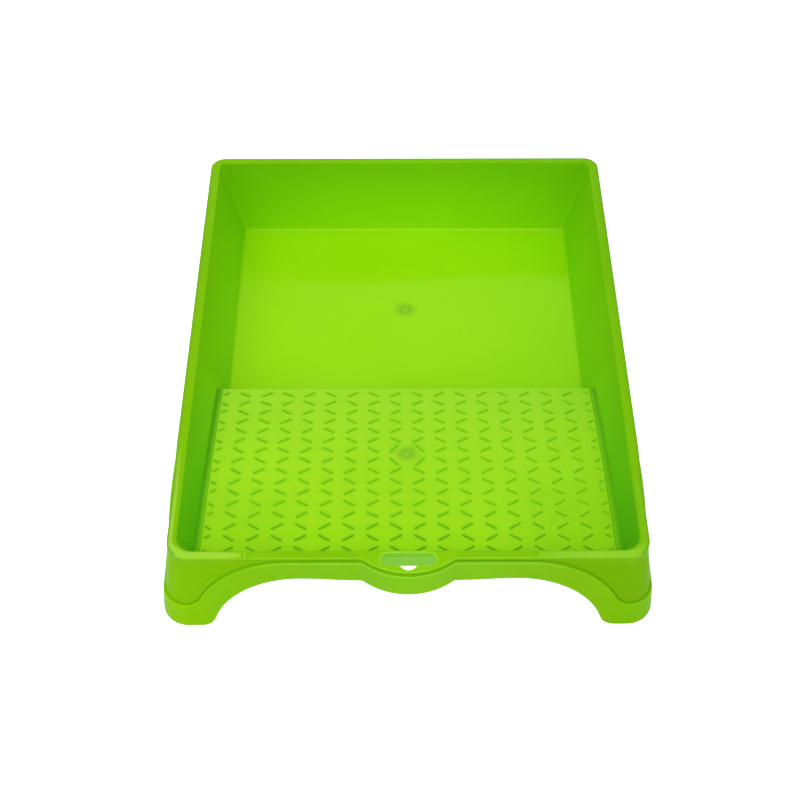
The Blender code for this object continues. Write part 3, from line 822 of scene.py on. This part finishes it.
def loft():
    """Points of every ring of the shell, and each ring's (name, across, turn)."""
    corners = [np.array([row[0](station) for station in stations], float) for row in PROFILE]
    before, after = list(corners), list(corners)
    for i, (_, size, segments, _, _) in enumerate(PROFILE):
        if segments:
            if callable(size):
                size = np.array([size(station) for station in stations])
            before[i] = cut_back(corners[i], corners[i - 1], size)
            after[i] = cut_back(corners[i], corners[i + 1], size)
    rings, tags = [], []
    for i, (_, _, segments, steps, name) in enumerate(PROFILE):
        for q in range(segments + 1):
            turn = q / segments if segments else 0.5
            rings.append(bezier(before[i], corners[i], after[i], turn))
            tags.append((name, 0.0, turn))
        for q in range(1, steps):
            share = q / steps
            rings.append(after[i] * (1 - share) + before[i + 1] * share)
            tags.append((name, share, 0.5))
    return np.array(rings), tags


def band_slopes(points):
    """Slope of the band's upper edge along every ring."""
    tops = np.array([band_top(station) for station in stations])
    climb = abs(np.roll(tops, -1) - np.roll(tops, 1))
    run = np.linalg.norm(np.roll(points, -1, axis=1) - np.roll(points, 1, axis=1), axis=2)
    return climb / np.maximum(run, 1e-6)


def warp(x, y):
    """Slow moulding warp of the thin floor: a ridge near y = 104 and gentle waves."""
    inside = fall(abs(x), FLOOR_HALF_X - 26, 22.0)
    inside *= fall(y, FLOOR_REAR - 21, 18.0) * rise(y, 1.0, 14.0)
    lean = 0.9 * rise(x, 10.0, 70.0) - math.exp(-((x + 30.0) / 35.0) ** 2)
    height = 0.16 * math.sin(x / 31.0 + 0.6) * math.cos(y / 27.0 - 0.5)
    height += 0.50 * lean * math.sin((y - 104.0) / 17.0) * math.exp(-((y - 104.0) / 34.0) ** 2)
    height += 0.07 * math.sin(x / 17.0 - y / 21.0 + 1.3)
    height -= 0.10 * math.cos(x / 63.0 + 0.4)
    return height * inside


COLUMNS = [-108.0 + 6.0 * i for i in range(37)]

# ledge section from the wall side down: (x from its inner foot, share of height, tone)
LEDGE_SECTION = [
    (LEDGE_STEP + 0.25, 1.0, "ledge"), (LEDGE_STEP + 0.08, 0.94, "ledge"),
    (LEDGE_STEP - 0.05, 0.78, "ledge_step"), (0.12, 0.12, "ledge_step"),
    (0.0, 0.02, "base"), (-0.18, 0.0, "base"),
]


class Shell:
    """Vertices, faces, marks and tones of the tray before ribs and cuts."""

    def __init__(self):
        self.verts, self.faces, self.tones = [], [], []
        self.marks = {name: [] for name in MARKS}
        points, tags = loft()
        slopes = band_slopes(points)
        for ring, tag, ring_slopes in zip(points, tags, slopes):
            for station, point, slope in zip(stations, ring, ring_slopes):
                self.add_spot(Spot(*tag, station, slope, *point))
        for low in range(0, (len(tags) - 1) * COUNT, COUNT):
            high = low + COUNT
            for k in range(COUNT):
                m = (k + 1) % COUNT
                self.faces.append((low + k, low + m, high + m, high + k))
        self.close((len(tags) - 1) * COUNT, top=True)
        self.close(0, top=False)

    def add_spot(self, spot):
        for name, mark in MARKS.items():
            self.marks[name].append(mark(spot))
        self.tones.append(tuple(shell_tone(spot)))
        lift = rim_lift(spot, self.marks["strip"][-1])
        self.verts.append((spot.x, spot.y, spot.z + lift))

    def add(self, x, y, z, part):
        self.verts.append((x, y, z))
        self.tones.append(TONES[part](x, y, z))
        for name, values in self.marks.items():
            values.append(0.14 if name == "glow" and part == "under" else 0.0)
        return len(self.verts) - 1

    def ledge_row(self, y, limit):
        """Row across the ramp, with a ledge at each end."""
        z, height = base_z(y), ledge_h(y)
        foot = foot_half_x(y) - LEDGE_W
        limit = min(limit, foot - 1.0)
        row = [self.add(-(foot + dx), y, z + height * share, part)
               for dx, share, part in LEDGE_SECTION]
        row += [self.add(x, y, z, "base") for x in COLUMNS if abs(x) < limit]
        row += [self.add(foot + dx, y, z + height * share, part)
                for dx, share, part in reversed(LEDGE_SECTION)]
        return row

    def plain_row(self, y, limit, top):
        row = []
        for x in COLUMNS:
            if abs(x) < limit - 1.0:
                z = base_z(y) if top else under_z(y)
                if top and y > 0:
                    z += warp(x, y)
                row.append(self.add(x, y, z, "base" if top else "under"))
        return row

    def zip_rows(self, low, high):
        """Faces between two rows of vertices, both running left to right."""
        i = j = 0
        while i < len(low) - 1 or j < len(high) - 1:
            low_x = self.verts[low[i + 1]][0] if i < len(low) - 1 else 1e9
            high_x = self.verts[high[j + 1]][0] if j < len(high) - 1 else 1e9
            if abs(low_x - high_x) < 1.2 and low_x < 1e8 and high_x < 1e8:
                self.faces.append((low[i], low[i + 1], high[j + 1], high[j]))
                i += 1
                j += 1
            elif low_x < high_x:
                self.faces.append((low[i], low[i + 1], high[j]))
                i += 1
            else:
                self.faces.append((low[i], high[j + 1], high[j]))
                j += 1

    def close(self, start, top):
        """Close the ring whose first vertex is start with rows from front to rear.

        The front edge with the front half of both corner arcs is one row, and so
        is the rear edge with the rear half of its arcs.
        """
        front_end = first["fr"] + N_FRONT // 2
        rear_start = first["rr"] + N_REAR // 2
        mirror = COUNT - 1 + first["fr"]
        rows = [[*range(mirror - front_end, COUNT), *range(front_end + 1)]]
        rows[0] = [start + k for k in rows[0]]
        for k in range(front_end + 1, rear_start):
            left, right = start + mirror - k, start + k
            x, y, _ = self.verts[right]
            if top and ledge_h(y) > 1e-6:
                inner = self.ledge_row(y, abs(x))
            else:
                inner = self.plain_row(y, abs(x), top)
            rows.append([left] + inner + [right])
        rows.append([start + k for k in range(mirror - rear_start, rear_start - 1, -1)])
        for low, high in zip(rows, rows[1:]):
            self.zip_rows(low, high)


# ---- ribs, slot, gate marks -------------------------------------------------------
def stack_faces(start, levels, count):
    """Caps and sides of a stack of closed loops of count vertices each."""
    top = start + (levels - 1) * count
    faces = [tuple(range(start + count - 1, start - 1, -1)), tuple(range(top, top + count))]
    for low in range(start, top, count):
        for q in range(count):
            m = (q + 1) % count
            faces.append((low + q, low + m, low + count + m, low + count + q))
    return faces


def rib_ends(row, col):
    """Centre y and the two end points of a rib; the slant alternates and mirrors."""
    yc = RIB_FIRST_Y - RIB_PITCH_Y * row + RIB_EASE.get(row, 0.0)
    xc = (col - (RIB_COLS - 1) / 2) * RIB_PITCH_X
    if row in (6, 7) and abs(xc) < RIB_PITCH_X:
        # the four ribs round the front gate point at it
        side = math.copysign(1.0, xc)
        gate_y = RIB_FIRST_Y - 6.5 * RIB_PITCH_Y
        up = 1.0 if yc > gate_y else -1.0
        return yc, (side * 10.0, gate_y + up * 2.4), (side * 5.0, gate_y + up * 8.8)
    left = xc < 0
    even = ((col if left else RIB_COLS - 1 - col) + row) % 2 == 0
    slope = (-1 if even == left else 1) * RIB_SPAN_Y / RIB_SPAN_X
    x0 = max(xc - RIB_SPAN_X / 2, -PLATE_HALF_X + 0.4)
    x1 = min(xc + RIB_SPAN_X / 2, PLATE_HALF_X - 0.4)
    return yc, (x0, yc + slope * (x0 - xc)), (x1, yc + slope * (x1 - xc))


# rib section: (height in mm below the ramp or share of RIB_H above it, share of half width)
RIB_SECTION = [(-0.5, 1.06), (0.0, 1.0), (0.45, 0.88), (0.70, 0.74), (0.88, 0.50), (1.0, 0.16)]
RIB_END_STEPS = 4


def build_ribs():
    """Each rib: a low bar with rounded ends, drafted sides and a rounded crest."""
    verts, faces = [], []
    for row in range(RIB_ROWS):
        for col in range(-1, RIB_COLS + 1):
            yc, p0, p1 = rib_ends(row, col)
            dx, dy = p1[0] - p0[0], p1[1] - p0[1]
            length = math.hypot(dx, dy)
            dx, dy = dx / length, dy / length
            # ribs widen slightly towards the front
            half = (RIB_W + 0.25 * rise(-yc, 30.0, 110.0)) / 2
            start = len(verts)
            for height, share in RIB_SECTION:
                radius = half * share
                lift = height * RIB_H if height > 0 else height
                for (px, py), inward, turn in ((p0, 1, 90), (p1, -1, -90)):
                    cx, cy = px + inward * dx * half, py + inward * dy * half
                    for q in range(RIB_END_STEPS + 1):
                        angle = math.radians(turn + 180 * q / RIB_END_STEPS)
                        cos, sin = math.cos(angle), math.sin(angle)
                        x = cx + radius * (cos * dx - sin * dy)
                        y = cy + radius * (cos * dy + sin * dx)
                        verts.append((x, y, ramp_z(y) + lift))
            faces += stack_faces(start, len(RIB_SECTION), 2 * (RIB_END_STEPS + 1))
    return verts, faces


def arc_points(cx, cy, radius, start, sweep):
    angles = [start + sweep * i / 14 for i in range(15)]
    return [(cx + radius * math.cos(q), cy + radius * math.sin(q)) for q in angles]


def slot_outline():
    """Round-ended slot with a shallow arc notched into its front edge."""
    radius = (SLOT_FRONT - SLOT_BACK) / 2
    cy = -(SLOT_FRONT + SLOT_BACK) / 2
    cx = SLOT_HALF - radius
    depth = NOTCH_FRONT - SLOT_FRONT
    notch_r = (NOTCH_HALF ** 2 + depth ** 2) / (2 * depth)
    half = math.asin(NOTCH_HALF / notch_r)
    return (arc_points(cx, cy, radius, -0.5 * math.pi, math.pi)
            + arc_points(-cx, cy, radius, 0.5 * math.pi, math.pi)
            + arc_points(0.0, -NOTCH_FRONT + notch_r, notch_r, -0.5 * math.pi - half, 2 * half))


def offset_loop(points, distance):
    out = []
    for i, (x, y) in enumerate(points):
        xa, ya = points[i - 1]
        xb, yb = points[(i + 1) % len(points)]
        la, lb = math.hypot(y - ya, xa - x), math.hypot(yb - y, x - xb)
        ax, ay = (y - ya) / la, (xa - x) / la
        nx, ny = ax + (yb - y) / lb, ay + (x - xb) / lb
        length = math.hypot(nx, ny)
        nx, ny = nx / length, ny / length
        mitre = max(0.6, nx * ax + ny * ay)
        out.append((x + nx * distance / mitre, y + ny * distance / mitre))
    return out


# slot cutter levels: (z, offset outward from the outline)
SLOT_LEVELS = [
    (FLANGE_LOW_Z - 1.0, 0.45), (FLANGE_LOW_Z - 0.001, 0.45), (FLANGE_LOW_Z + 0.06, 0.26),
    (FLANGE_LOW_Z + 0.22, 0.08), (FLANGE_LOW_Z + 0.45, 0.0), (RIM_Z - 0.55, 0.0),
    (RIM_Z - 0.32, 0.06), (RIM_Z - 0.14, 0.2), (RIM_Z - 0.04, 0.38),
    (RIM_Z + 0.001, 0.58), (RIM_Z + 1.0, 0.58),
]


def build_slot():
    loop = slot_outline()
    verts = [(x, y, z) for z, distance in SLOT_LEVELS for x, y in offset_loop(loop, distance)]
    return verts, stack_faces(0, len(SLOT_LEVELS), len(loop))


# gate cutter section: (radius, height above the base)
GATE_SECTION = [
    (0.35, 1.0), (3.0, 1.0), (3.0, 0.0), (2.45, -0.05), (2.1, -0.16), (1.5, -0.22),
    (1.0, -0.18), (0.72, 0.02), (0.55, 0.10), (0.35, 0.14),
]
GATE_SEGMENTS = 28


def build_gates():
    """Ring-shaped cutters: a shallow dish with the broken-off sprue standing in it."""
    verts, faces = [], []
    m = len(GATE_SECTION)
    for gate_x, gate_y in GATES:
        start = len(verts)
        for q in range(GATE_SEGMENTS):
            angle = 2 * math.pi * q / GATE_SEGMENTS
            for radius, height in GATE_SECTION:
                y = gate_y + radius * math.sin(angle)
                verts.append((gate_x + radius * math.cos(angle), y, base_z(y) + height))
        for q in range(GATE_SEGMENTS):
            here, after = start + q * m, start + (q + 1) % GATE_SEGMENTS * m
            for r in range(m):
                s = (r + 1) % m
                faces.append((here + r, after + r, after + s, here + s))
    return verts, faces


# ---- materials ----------------------------------------------------------------
class Graph:
    """Small helper to write node trees as expressions."""

    def __init__(self, owner):
        owner.use_nodes = True
        self.tree = owner.node_tree
        self.tree.nodes.clear()

    def node(self, kind, **settings):
        node = self.tree.nodes.new(kind)
        for name, value in settings.items():
            setattr(node, name, value)
        return node

    def put(self, socket, value):
        if isinstance(value, bpy.types.NodeSocket):
            self.tree.links.new(value, socket)
        else:
            socket.default_value = value

    def math(self, operation, *values):
        node = self.node("ShaderNodeMath", operation=operation)
        for i, value in enumerate(values):
            self.put(node.inputs[i], value)
        return node.outputs[0]

    def attr(self, name):
        return self.node("ShaderNodeAttribute", attribute_name=name).outputs["Fac"]

    def noise(self, vector, scale, detail, roughness):
        node = self.node("ShaderNodeTexNoise")
        self.put(node.inputs["Vector"], vector)
        node.inputs["Scale"].default_value = scale
        node.inputs["Detail"].default_value = detail
        node.inputs["Roughness"].default_value = roughness
        return node.outputs[0]

    def remap(self, value, span, to, kind="SMOOTHSTEP"):
        node = self.node("ShaderNodeMapRange", interpolation_type=kind)
        for i, item in enumerate((value, *span, *to)):
            self.put(node.inputs[i], item)
        return node.outputs[0]

    def mix(self, factor, first_colour, second_colour, blend="MIX"):
        node = self.node("ShaderNodeMix", data_type="RGBA", blend_type=blend, clamp_factor=True)
        self.put(node.inputs[0], factor)
        self.put(node.inputs[6], first_colour)
        self.put(node.inputs[7], second_colour)
        return node.outputs[2]

    def split(self, vector):
        node = self.node("ShaderNodeSeparateXYZ")
        self.put(node.inputs[0], vector)
        return node.outputs


BASE_GREEN = (0.255, 0.655, 0.0022, 1.0)
SHADE_GREEN = (0.135, 0.470, 0.006, 1.0)
PALE_GREEN = (0.330, 0.710, 0.014, 1.0)
HALO_GREEN = (0.150, 0.440, 0.010, 1.0)
RING_GREEN = (0.300, 0.680, 0.060, 1.0)
RIB_SHADE_GREEN = (0.162, 0.475, 0.005, 1.0)

# mesh mark, strength, tint; a painted highlight on the track, painted shade on the rim's outer
# edge and in the groove, and painted glints
MARK_TINTS = (
    ("strip", 0.90, (0.400, 0.815, 0.042, 1.0)),
    ("edge_shade", 0.62, SHADE_GREEN),
    ("groove", 0.38, SHADE_GREEN),
    ("glint", 0.40, (0.50, 0.95, 0.05, 1.0)),
)


def pigment(g, pos):
    """Slow flow clouds and fine pigment mottling."""
    cloud_depth, fine_depth = 0.10, 0.035
    clouds = g.noise(pos, scale=9.0, detail=3.0, roughness=0.55)
    fine = g.noise(pos, scale=420.0, detail=2.0, roughness=0.6)
    tone = g.math("ADD", g.math("MULTIPLY", g.math("SUBTRACT", clouds, 0.5), cloud_depth),
                  g.math("MULTIPLY", g.math("SUBTRACT", fine, 0.5), fine_depth))
    paleness = g.remap(clouds, span=(0.3, 0.7), to=(0.0, 0.10))
    hsv = g.node("ShaderNodeHueSaturation")
    g.put(hsv.inputs["Color"], g.mix(paleness, BASE_GREEN, PALE_GREEN))
    g.put(hsv.inputs["Value"], g.math("ADD", 1.0, tone))
    return hsv.outputs[0]


def gate_tint(g, colour, x, y):
    """Darker halo and a thin pale ring round each injection gate, by distance in m."""
    for gate_x, gate_y in GATES:
        dx = g.math("SUBTRACT", x, gate_x * MM)
        dy = g.math("SUBTRACT", y, gate_y * MM)
        square = g.math("ADD", g.math("MULTIPLY", dx, dx), g.math("MULTIPLY", dy, dy))
        distance = g.math("SQRT", square)
        halo = g.remap(distance, span=(0.0010, 0.0096), to=(0.78, 0.0))
        colour = g.mix(halo, colour, HALO_GREEN)
        ring = g.math("MULTIPLY", g.remap(distance, span=(0.0005, 0.0011), to=(0.0, 0.7)),
                      g.remap(distance, span=(0.0013, 0.0020), to=(1.0, 0.0)))
        colour = g.mix(ring, colour, RING_GREEN)
    return colour


def gloss_roughness(g, pos, gloss_tone):
    """Semi-gloss skin: slow gloss variation and faint scuffs along x."""
    gloss = g.noise(pos, scale=26.0, detail=3.0, roughness=0.6)
    stretch = g.node("ShaderNodeMapping")
    g.put(stretch.inputs["Vector"], pos)
    stretch.inputs["Scale"].default_value = (1.0, 14.0, 14.0)
    scuff = g.noise(stretch.outputs[0], scale=60.0, detail=4.0, roughness=0.65)
    rough = g.math("ADD", g.remap(gloss, span=(0.3, 0.7), to=(0.20, 0.27), kind="LINEAR"),
                   g.remap(scuff, span=(0.62, 0.80), to=(0.0, 0.10)))
    return g.math("MULTIPLY", rough, g.remap(gloss_tone, span=(0.3, 1.0), to=(0.90, 0.50)))


def skin_bump(g, pos):
    """Orange peel from the mould and a very slow waviness."""
    peel_height, wave_height = 0.010 * MM, 0.10 * MM
    peel = g.noise(pos, scale=900.0, detail=2.0, roughness=0.5)
    slow = g.noise(pos, scale=38.0, detail=1.0, roughness=0.4)
    bump = g.node("ShaderNodeBump")
    bump.inputs["Strength"].default_value = 1.0
    bump.inputs["Distance"].default_value = 1.0
    g.put(bump.inputs["Height"], g.math("ADD", g.math("MULTIPLY", peel, peel_height),
                                        g.math("MULTIPLY", slow, wave_height)))
    return bump.outputs[0]


# With rib set, this makes the ribs' copy of the plastic, with painted shade in place of each
# part's tone.
def polypropylene(name, rib=False):
    mat = bpy.data.materials.new(name)
    g = Graph(mat)
    out = g.node("ShaderNodeOutputMaterial")
    bsdf = g.node("ShaderNodeBsdfPrincipled")
    g.put(out.inputs["Surface"], bsdf.outputs[0])
    pos = g.node("ShaderNodeTexCoord").outputs["Object"]
    x, y, _ = g.split(pos)

    colour = gate_tint(g, pigment(g, pos), x, y)
    for mark, strength, tint in MARK_TINTS:
        colour = g.mix(g.math("MULTIPLY", g.attr(mark), strength), colour, tint)
    if rib:
        # painted shade on the ribs, deeper towards the front
        rib_shade = g.remap(y, span=(-0.112, -0.142), to=(0.62, 0.95))
        colour = g.mix(rib_shade, colour, RIB_SHADE_GREEN)
    # painted light and shade: each part's tone scales the colour (the ribs have their own
    # painted shade above)
    tone = g.node("ShaderNodeAttribute", attribute_name="tone").outputs
    if rib:
        specular = 0.2
    else:
        colour = g.mix(1.0, colour, tone["Color"], "MULTIPLY")
        specular = g.math("MULTIPLY", tone["Alpha"], 0.40)

    settings = {
        "Base Color": colour,
        # light that comes through the thin skin from the far side
        "Emission Color": colour,
        "Emission Strength": g.attr("glow"),
        "Specular IOR Level": specular,
        "Specular Tint": (1.0, 0.80, 0.15, 1.0),
        "Roughness": gloss_roughness(g, pos, tone["Alpha"]),
        "IOR": 1.49,
        # light scatters a few millimetres, furthest in green
        "Subsurface Weight": 0.55,
        "Subsurface Radius": (1.6, 3.0, 0.35),
        "Subsurface Scale": MM,
        "Normal": skin_bump(g, pos),
    }
    for socket, value in settings.items():
        g.put(bsdf.inputs[socket], value)
    return mat


# ---- mesh objects ------------------------------------------------------------------
def make_object(name, verts, faces, material, marks, tones):
    mesh = bpy.data.meshes.new(name)
    mesh.from_pydata([(x * MM, y * MM, z * MM) for x, y, z in verts], [], faces)
    mesh.materials.append(material)
    obj = bpy.data.objects.new(name, mesh)
    bpy.context.scene.collection.objects.link(obj)
    for mark in MARKS:
        values = marks.get(mark, [0.0] * len(verts))
        layer = mesh.attributes.new(mark, "FLOAT", "POINT")
        layer.data.foreach_set("value", np.array(values, np.float32))
    # tone: painted light and shade as colour scales, with the gloss in alpha
    layer = mesh.attributes.new("tone", "FLOAT_COLOR", "POINT")
    layer.data.foreach_set("color", np.array(tones, np.float32).ravel())
    tidy(mesh)
    return obj


def tidy(mesh):
    bm = bmesh.new()
    bm.from_mesh(mesh)
    bmesh.ops.remove_doubles(bm, verts=bm.verts, dist=2e-6)
    bmesh.ops.recalc_face_normals(bm, faces=bm.faces)
    bm.to_mesh(mesh)
    bm.free()


def plain_tool(name, shape, material):
    verts, faces = shape
    return make_object(name, verts, faces, material, {}, [(1.1, 1.0, 1.0, 0.6)] * len(verts))


def slot_tool(material):
    """Slot cutter: its rounded upper edge gets a painted glint, the rest of the cut a painted
    glow and pale bluish painted light.
    """
    verts, faces = build_slot()
    upper = [z > RIM_Z - 0.6 for _, _, z in verts]
    marks = {"glint": [0.9 if up else 0.0 for up in upper],
             "glow": [0.0 if up else 0.29 for up in upper]}
    tones = [(0.85, 0.80, 1.2, 0.2) if up else (0.98, 0.84, 14.0, 0.2) for up in upper]
    return make_object("slot_tool", verts, faces, material, marks, tones)


def build_tray():
    plastic = polypropylene("green_polypropylene")
    # the ribs' copy of the plastic, with painted shade
    shaded_rib_plastic = polypropylene("green_polypropylene_ribs_shaded", rib=True)
    shell = Shell()
    tray = make_object("tray_shell", shell.verts, shell.faces, plastic, shell.marks, shell.tones)
    tray.data.materials.append(shaded_rib_plastic)

    ribs = plain_tool("ribs_tool", build_ribs(), shaded_rib_plastic)
    slot = slot_tool(plastic)
    gates = plain_tool("gates_tool", build_gates(), plastic)
    for tool, operation in ((slot, "DIFFERENCE"), (gates, "DIFFERENCE"), (ribs, "UNION")):
        boolean = tray.modifiers.new(tool.name, "BOOLEAN")
        boolean.operation = operation
        boolean.solver = "MANIFOLD"
        boolean.object = tool
        boolean.material_mode = "TRANSFER"
    depsgraph = bpy.context.evaluated_depsgraph_get()
    final = bpy.data.meshes.new_from_object(
        tray.evaluated_get(depsgraph), preserve_all_data_layers=True, depsgraph=depsgraph)
    tray.modifiers.clear()
    tray.data = final
    for tool in (ribs, slot, gates):
        bpy.data.objects.remove(tool, do_unlink=True)

    final.shade_smooth()
    final.set_sharp_from_angle(angle=math.radians(34))
    normals = tray.modifiers.new("weighted normals", "WEIGHTED_NORMAL")
    normals.mode = "FACE_AREA"
    normals.weight = 60
    normals.keep_sharp = True
    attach(tray, "root")
    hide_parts("tray_body")


# ---- floor, light, camera: metres -----------------------------------------------
def build_floor():
    """Pale table just below the tray, brightened for the camera only."""
    half = 6.0
    mesh = bpy.data.meshes.new("floor")
    mesh.from_pydata([(-half, -half, 0), (half, -half, 0), (half, half, 0), (-half, half, 0)],
                     [], [(0, 1, 2, 3)])
    floor = bpy.data.objects.new("floor", mesh)
    floor.location.z = -0.0002
    bpy.context.scene.collection.objects.link(floor)
    mat = bpy.data.materials.new("pale_floor")
    g = Graph(mat)
    out = g.node("ShaderNodeOutputMaterial")
    diffuse = g.node("ShaderNodeBsdfDiffuse")
    diffuse.inputs["Color"].default_value = (0.70, 0.70, 0.70, 1)
    glow = g.node("ShaderNodeEmission")
    glow.inputs["Color"].default_value = (1, 1, 1, 1)
    camera_ray = g.node("ShaderNodeLightPath").outputs["Is Camera Ray"]
    g.put(glow.inputs["Strength"],
          g.remap(camera_ray, span=(0.0, 1.0), to=(0.0, 0.90), kind="LINEAR"))
    both = g.node("ShaderNodeAddShader")
    g.put(both.inputs[0], diffuse.outputs[0])
    g.put(both.inputs[1], glow.outputs[0])
    g.put(out.inputs["Surface"], both.outputs[0])
    mesh.materials.append(mat)


def build_world():
    """White tent: even all round, with a brighter sweep behind the tray from the
    table up to about 48 degrees and a brighter half in front."""
    even_level, sweep_level, front_level = 0.48, 0.34, 0.85
    world = bpy.data.worlds.new("studio")
    bpy.context.scene.world = world
    g = Graph(world)
    out = g.node("ShaderNodeOutputWorld")
    background = g.node("ShaderNodeBackground")
    g.put(out.inputs["Surface"], background.outputs[0])
    _, y, z = g.split(g.node("ShaderNodeTexCoord").outputs["Generated"])
    back = g.remap(y, span=(0.0, 0.25), to=(0.0, 1.0))
    sweep = g.math("MULTIPLY", back, g.remap(z, span=(0.735, 0.768), to=(1.0, 0.0)))
    front = g.remap(y, span=(0.10, -0.60), to=(0.0, 1.0))
    level = g.math("ADD", even_level, g.math("MULTIPLY", sweep, sweep_level))
    level = g.math("ADD", level, g.math("MULTIPLY", front, front_level))
    camera_ray = g.node("ShaderNodeLightPath").outputs["Is Camera Ray"]
    g.put(background.inputs["Color"], (1, 1, 1, 1))
    g.put(background.inputs["Strength"], g.mix(camera_ray, level, (1.0, 1.0, 1.0, 1.0)))


def build_key_light():
    data = bpy.data.lights.new("overhead_softbox", "AREA")
    data.shape = "RECTANGLE"
    data.size = 1.3
    data.size_y = 0.9
    data.energy = 5.5
    key = bpy.data.objects.new("overhead_softbox", data)
    key.location = (-0.15, 0.0, 1.2)
    key.rotation_euler = (0, math.radians(-7), 0)
    bpy.context.scene.collection.objects.link(key)


# columns: camera's right, up and backward directions, and its position
CAMERA_MATRIX = (
    (0.99998973, 0.00278427, -0.00357546, -0.006910),
    (-0.00443231, 0.76523554, -0.64373514, -0.574672),
    (0.00094374, 0.64374437, 0.76524002, 0.678021),
    (0.0, 0.0, 0.0, 1.0))


def build_camera():
    data = bpy.data.cameras.new("camera")
    data.lens = 63.0
    data.sensor_width = 36.0
    data.clip_start = 0.01
    camera = bpy.data.objects.new("camera", data)
    camera.matrix_world = Matrix(CAMERA_MATRIX)
    bpy.context.scene.collection.objects.link(camera)
    bpy.context.scene.camera = camera


build_tray()
build_floor()
build_world()
view = bpy.context.scene.view_settings
view.view_transform = "Standard"
view.look = "None"
view.exposure = 0.0
view.gamma = 1.0
build_key_light()
build_camera()

bpy.context.view_layer.update()
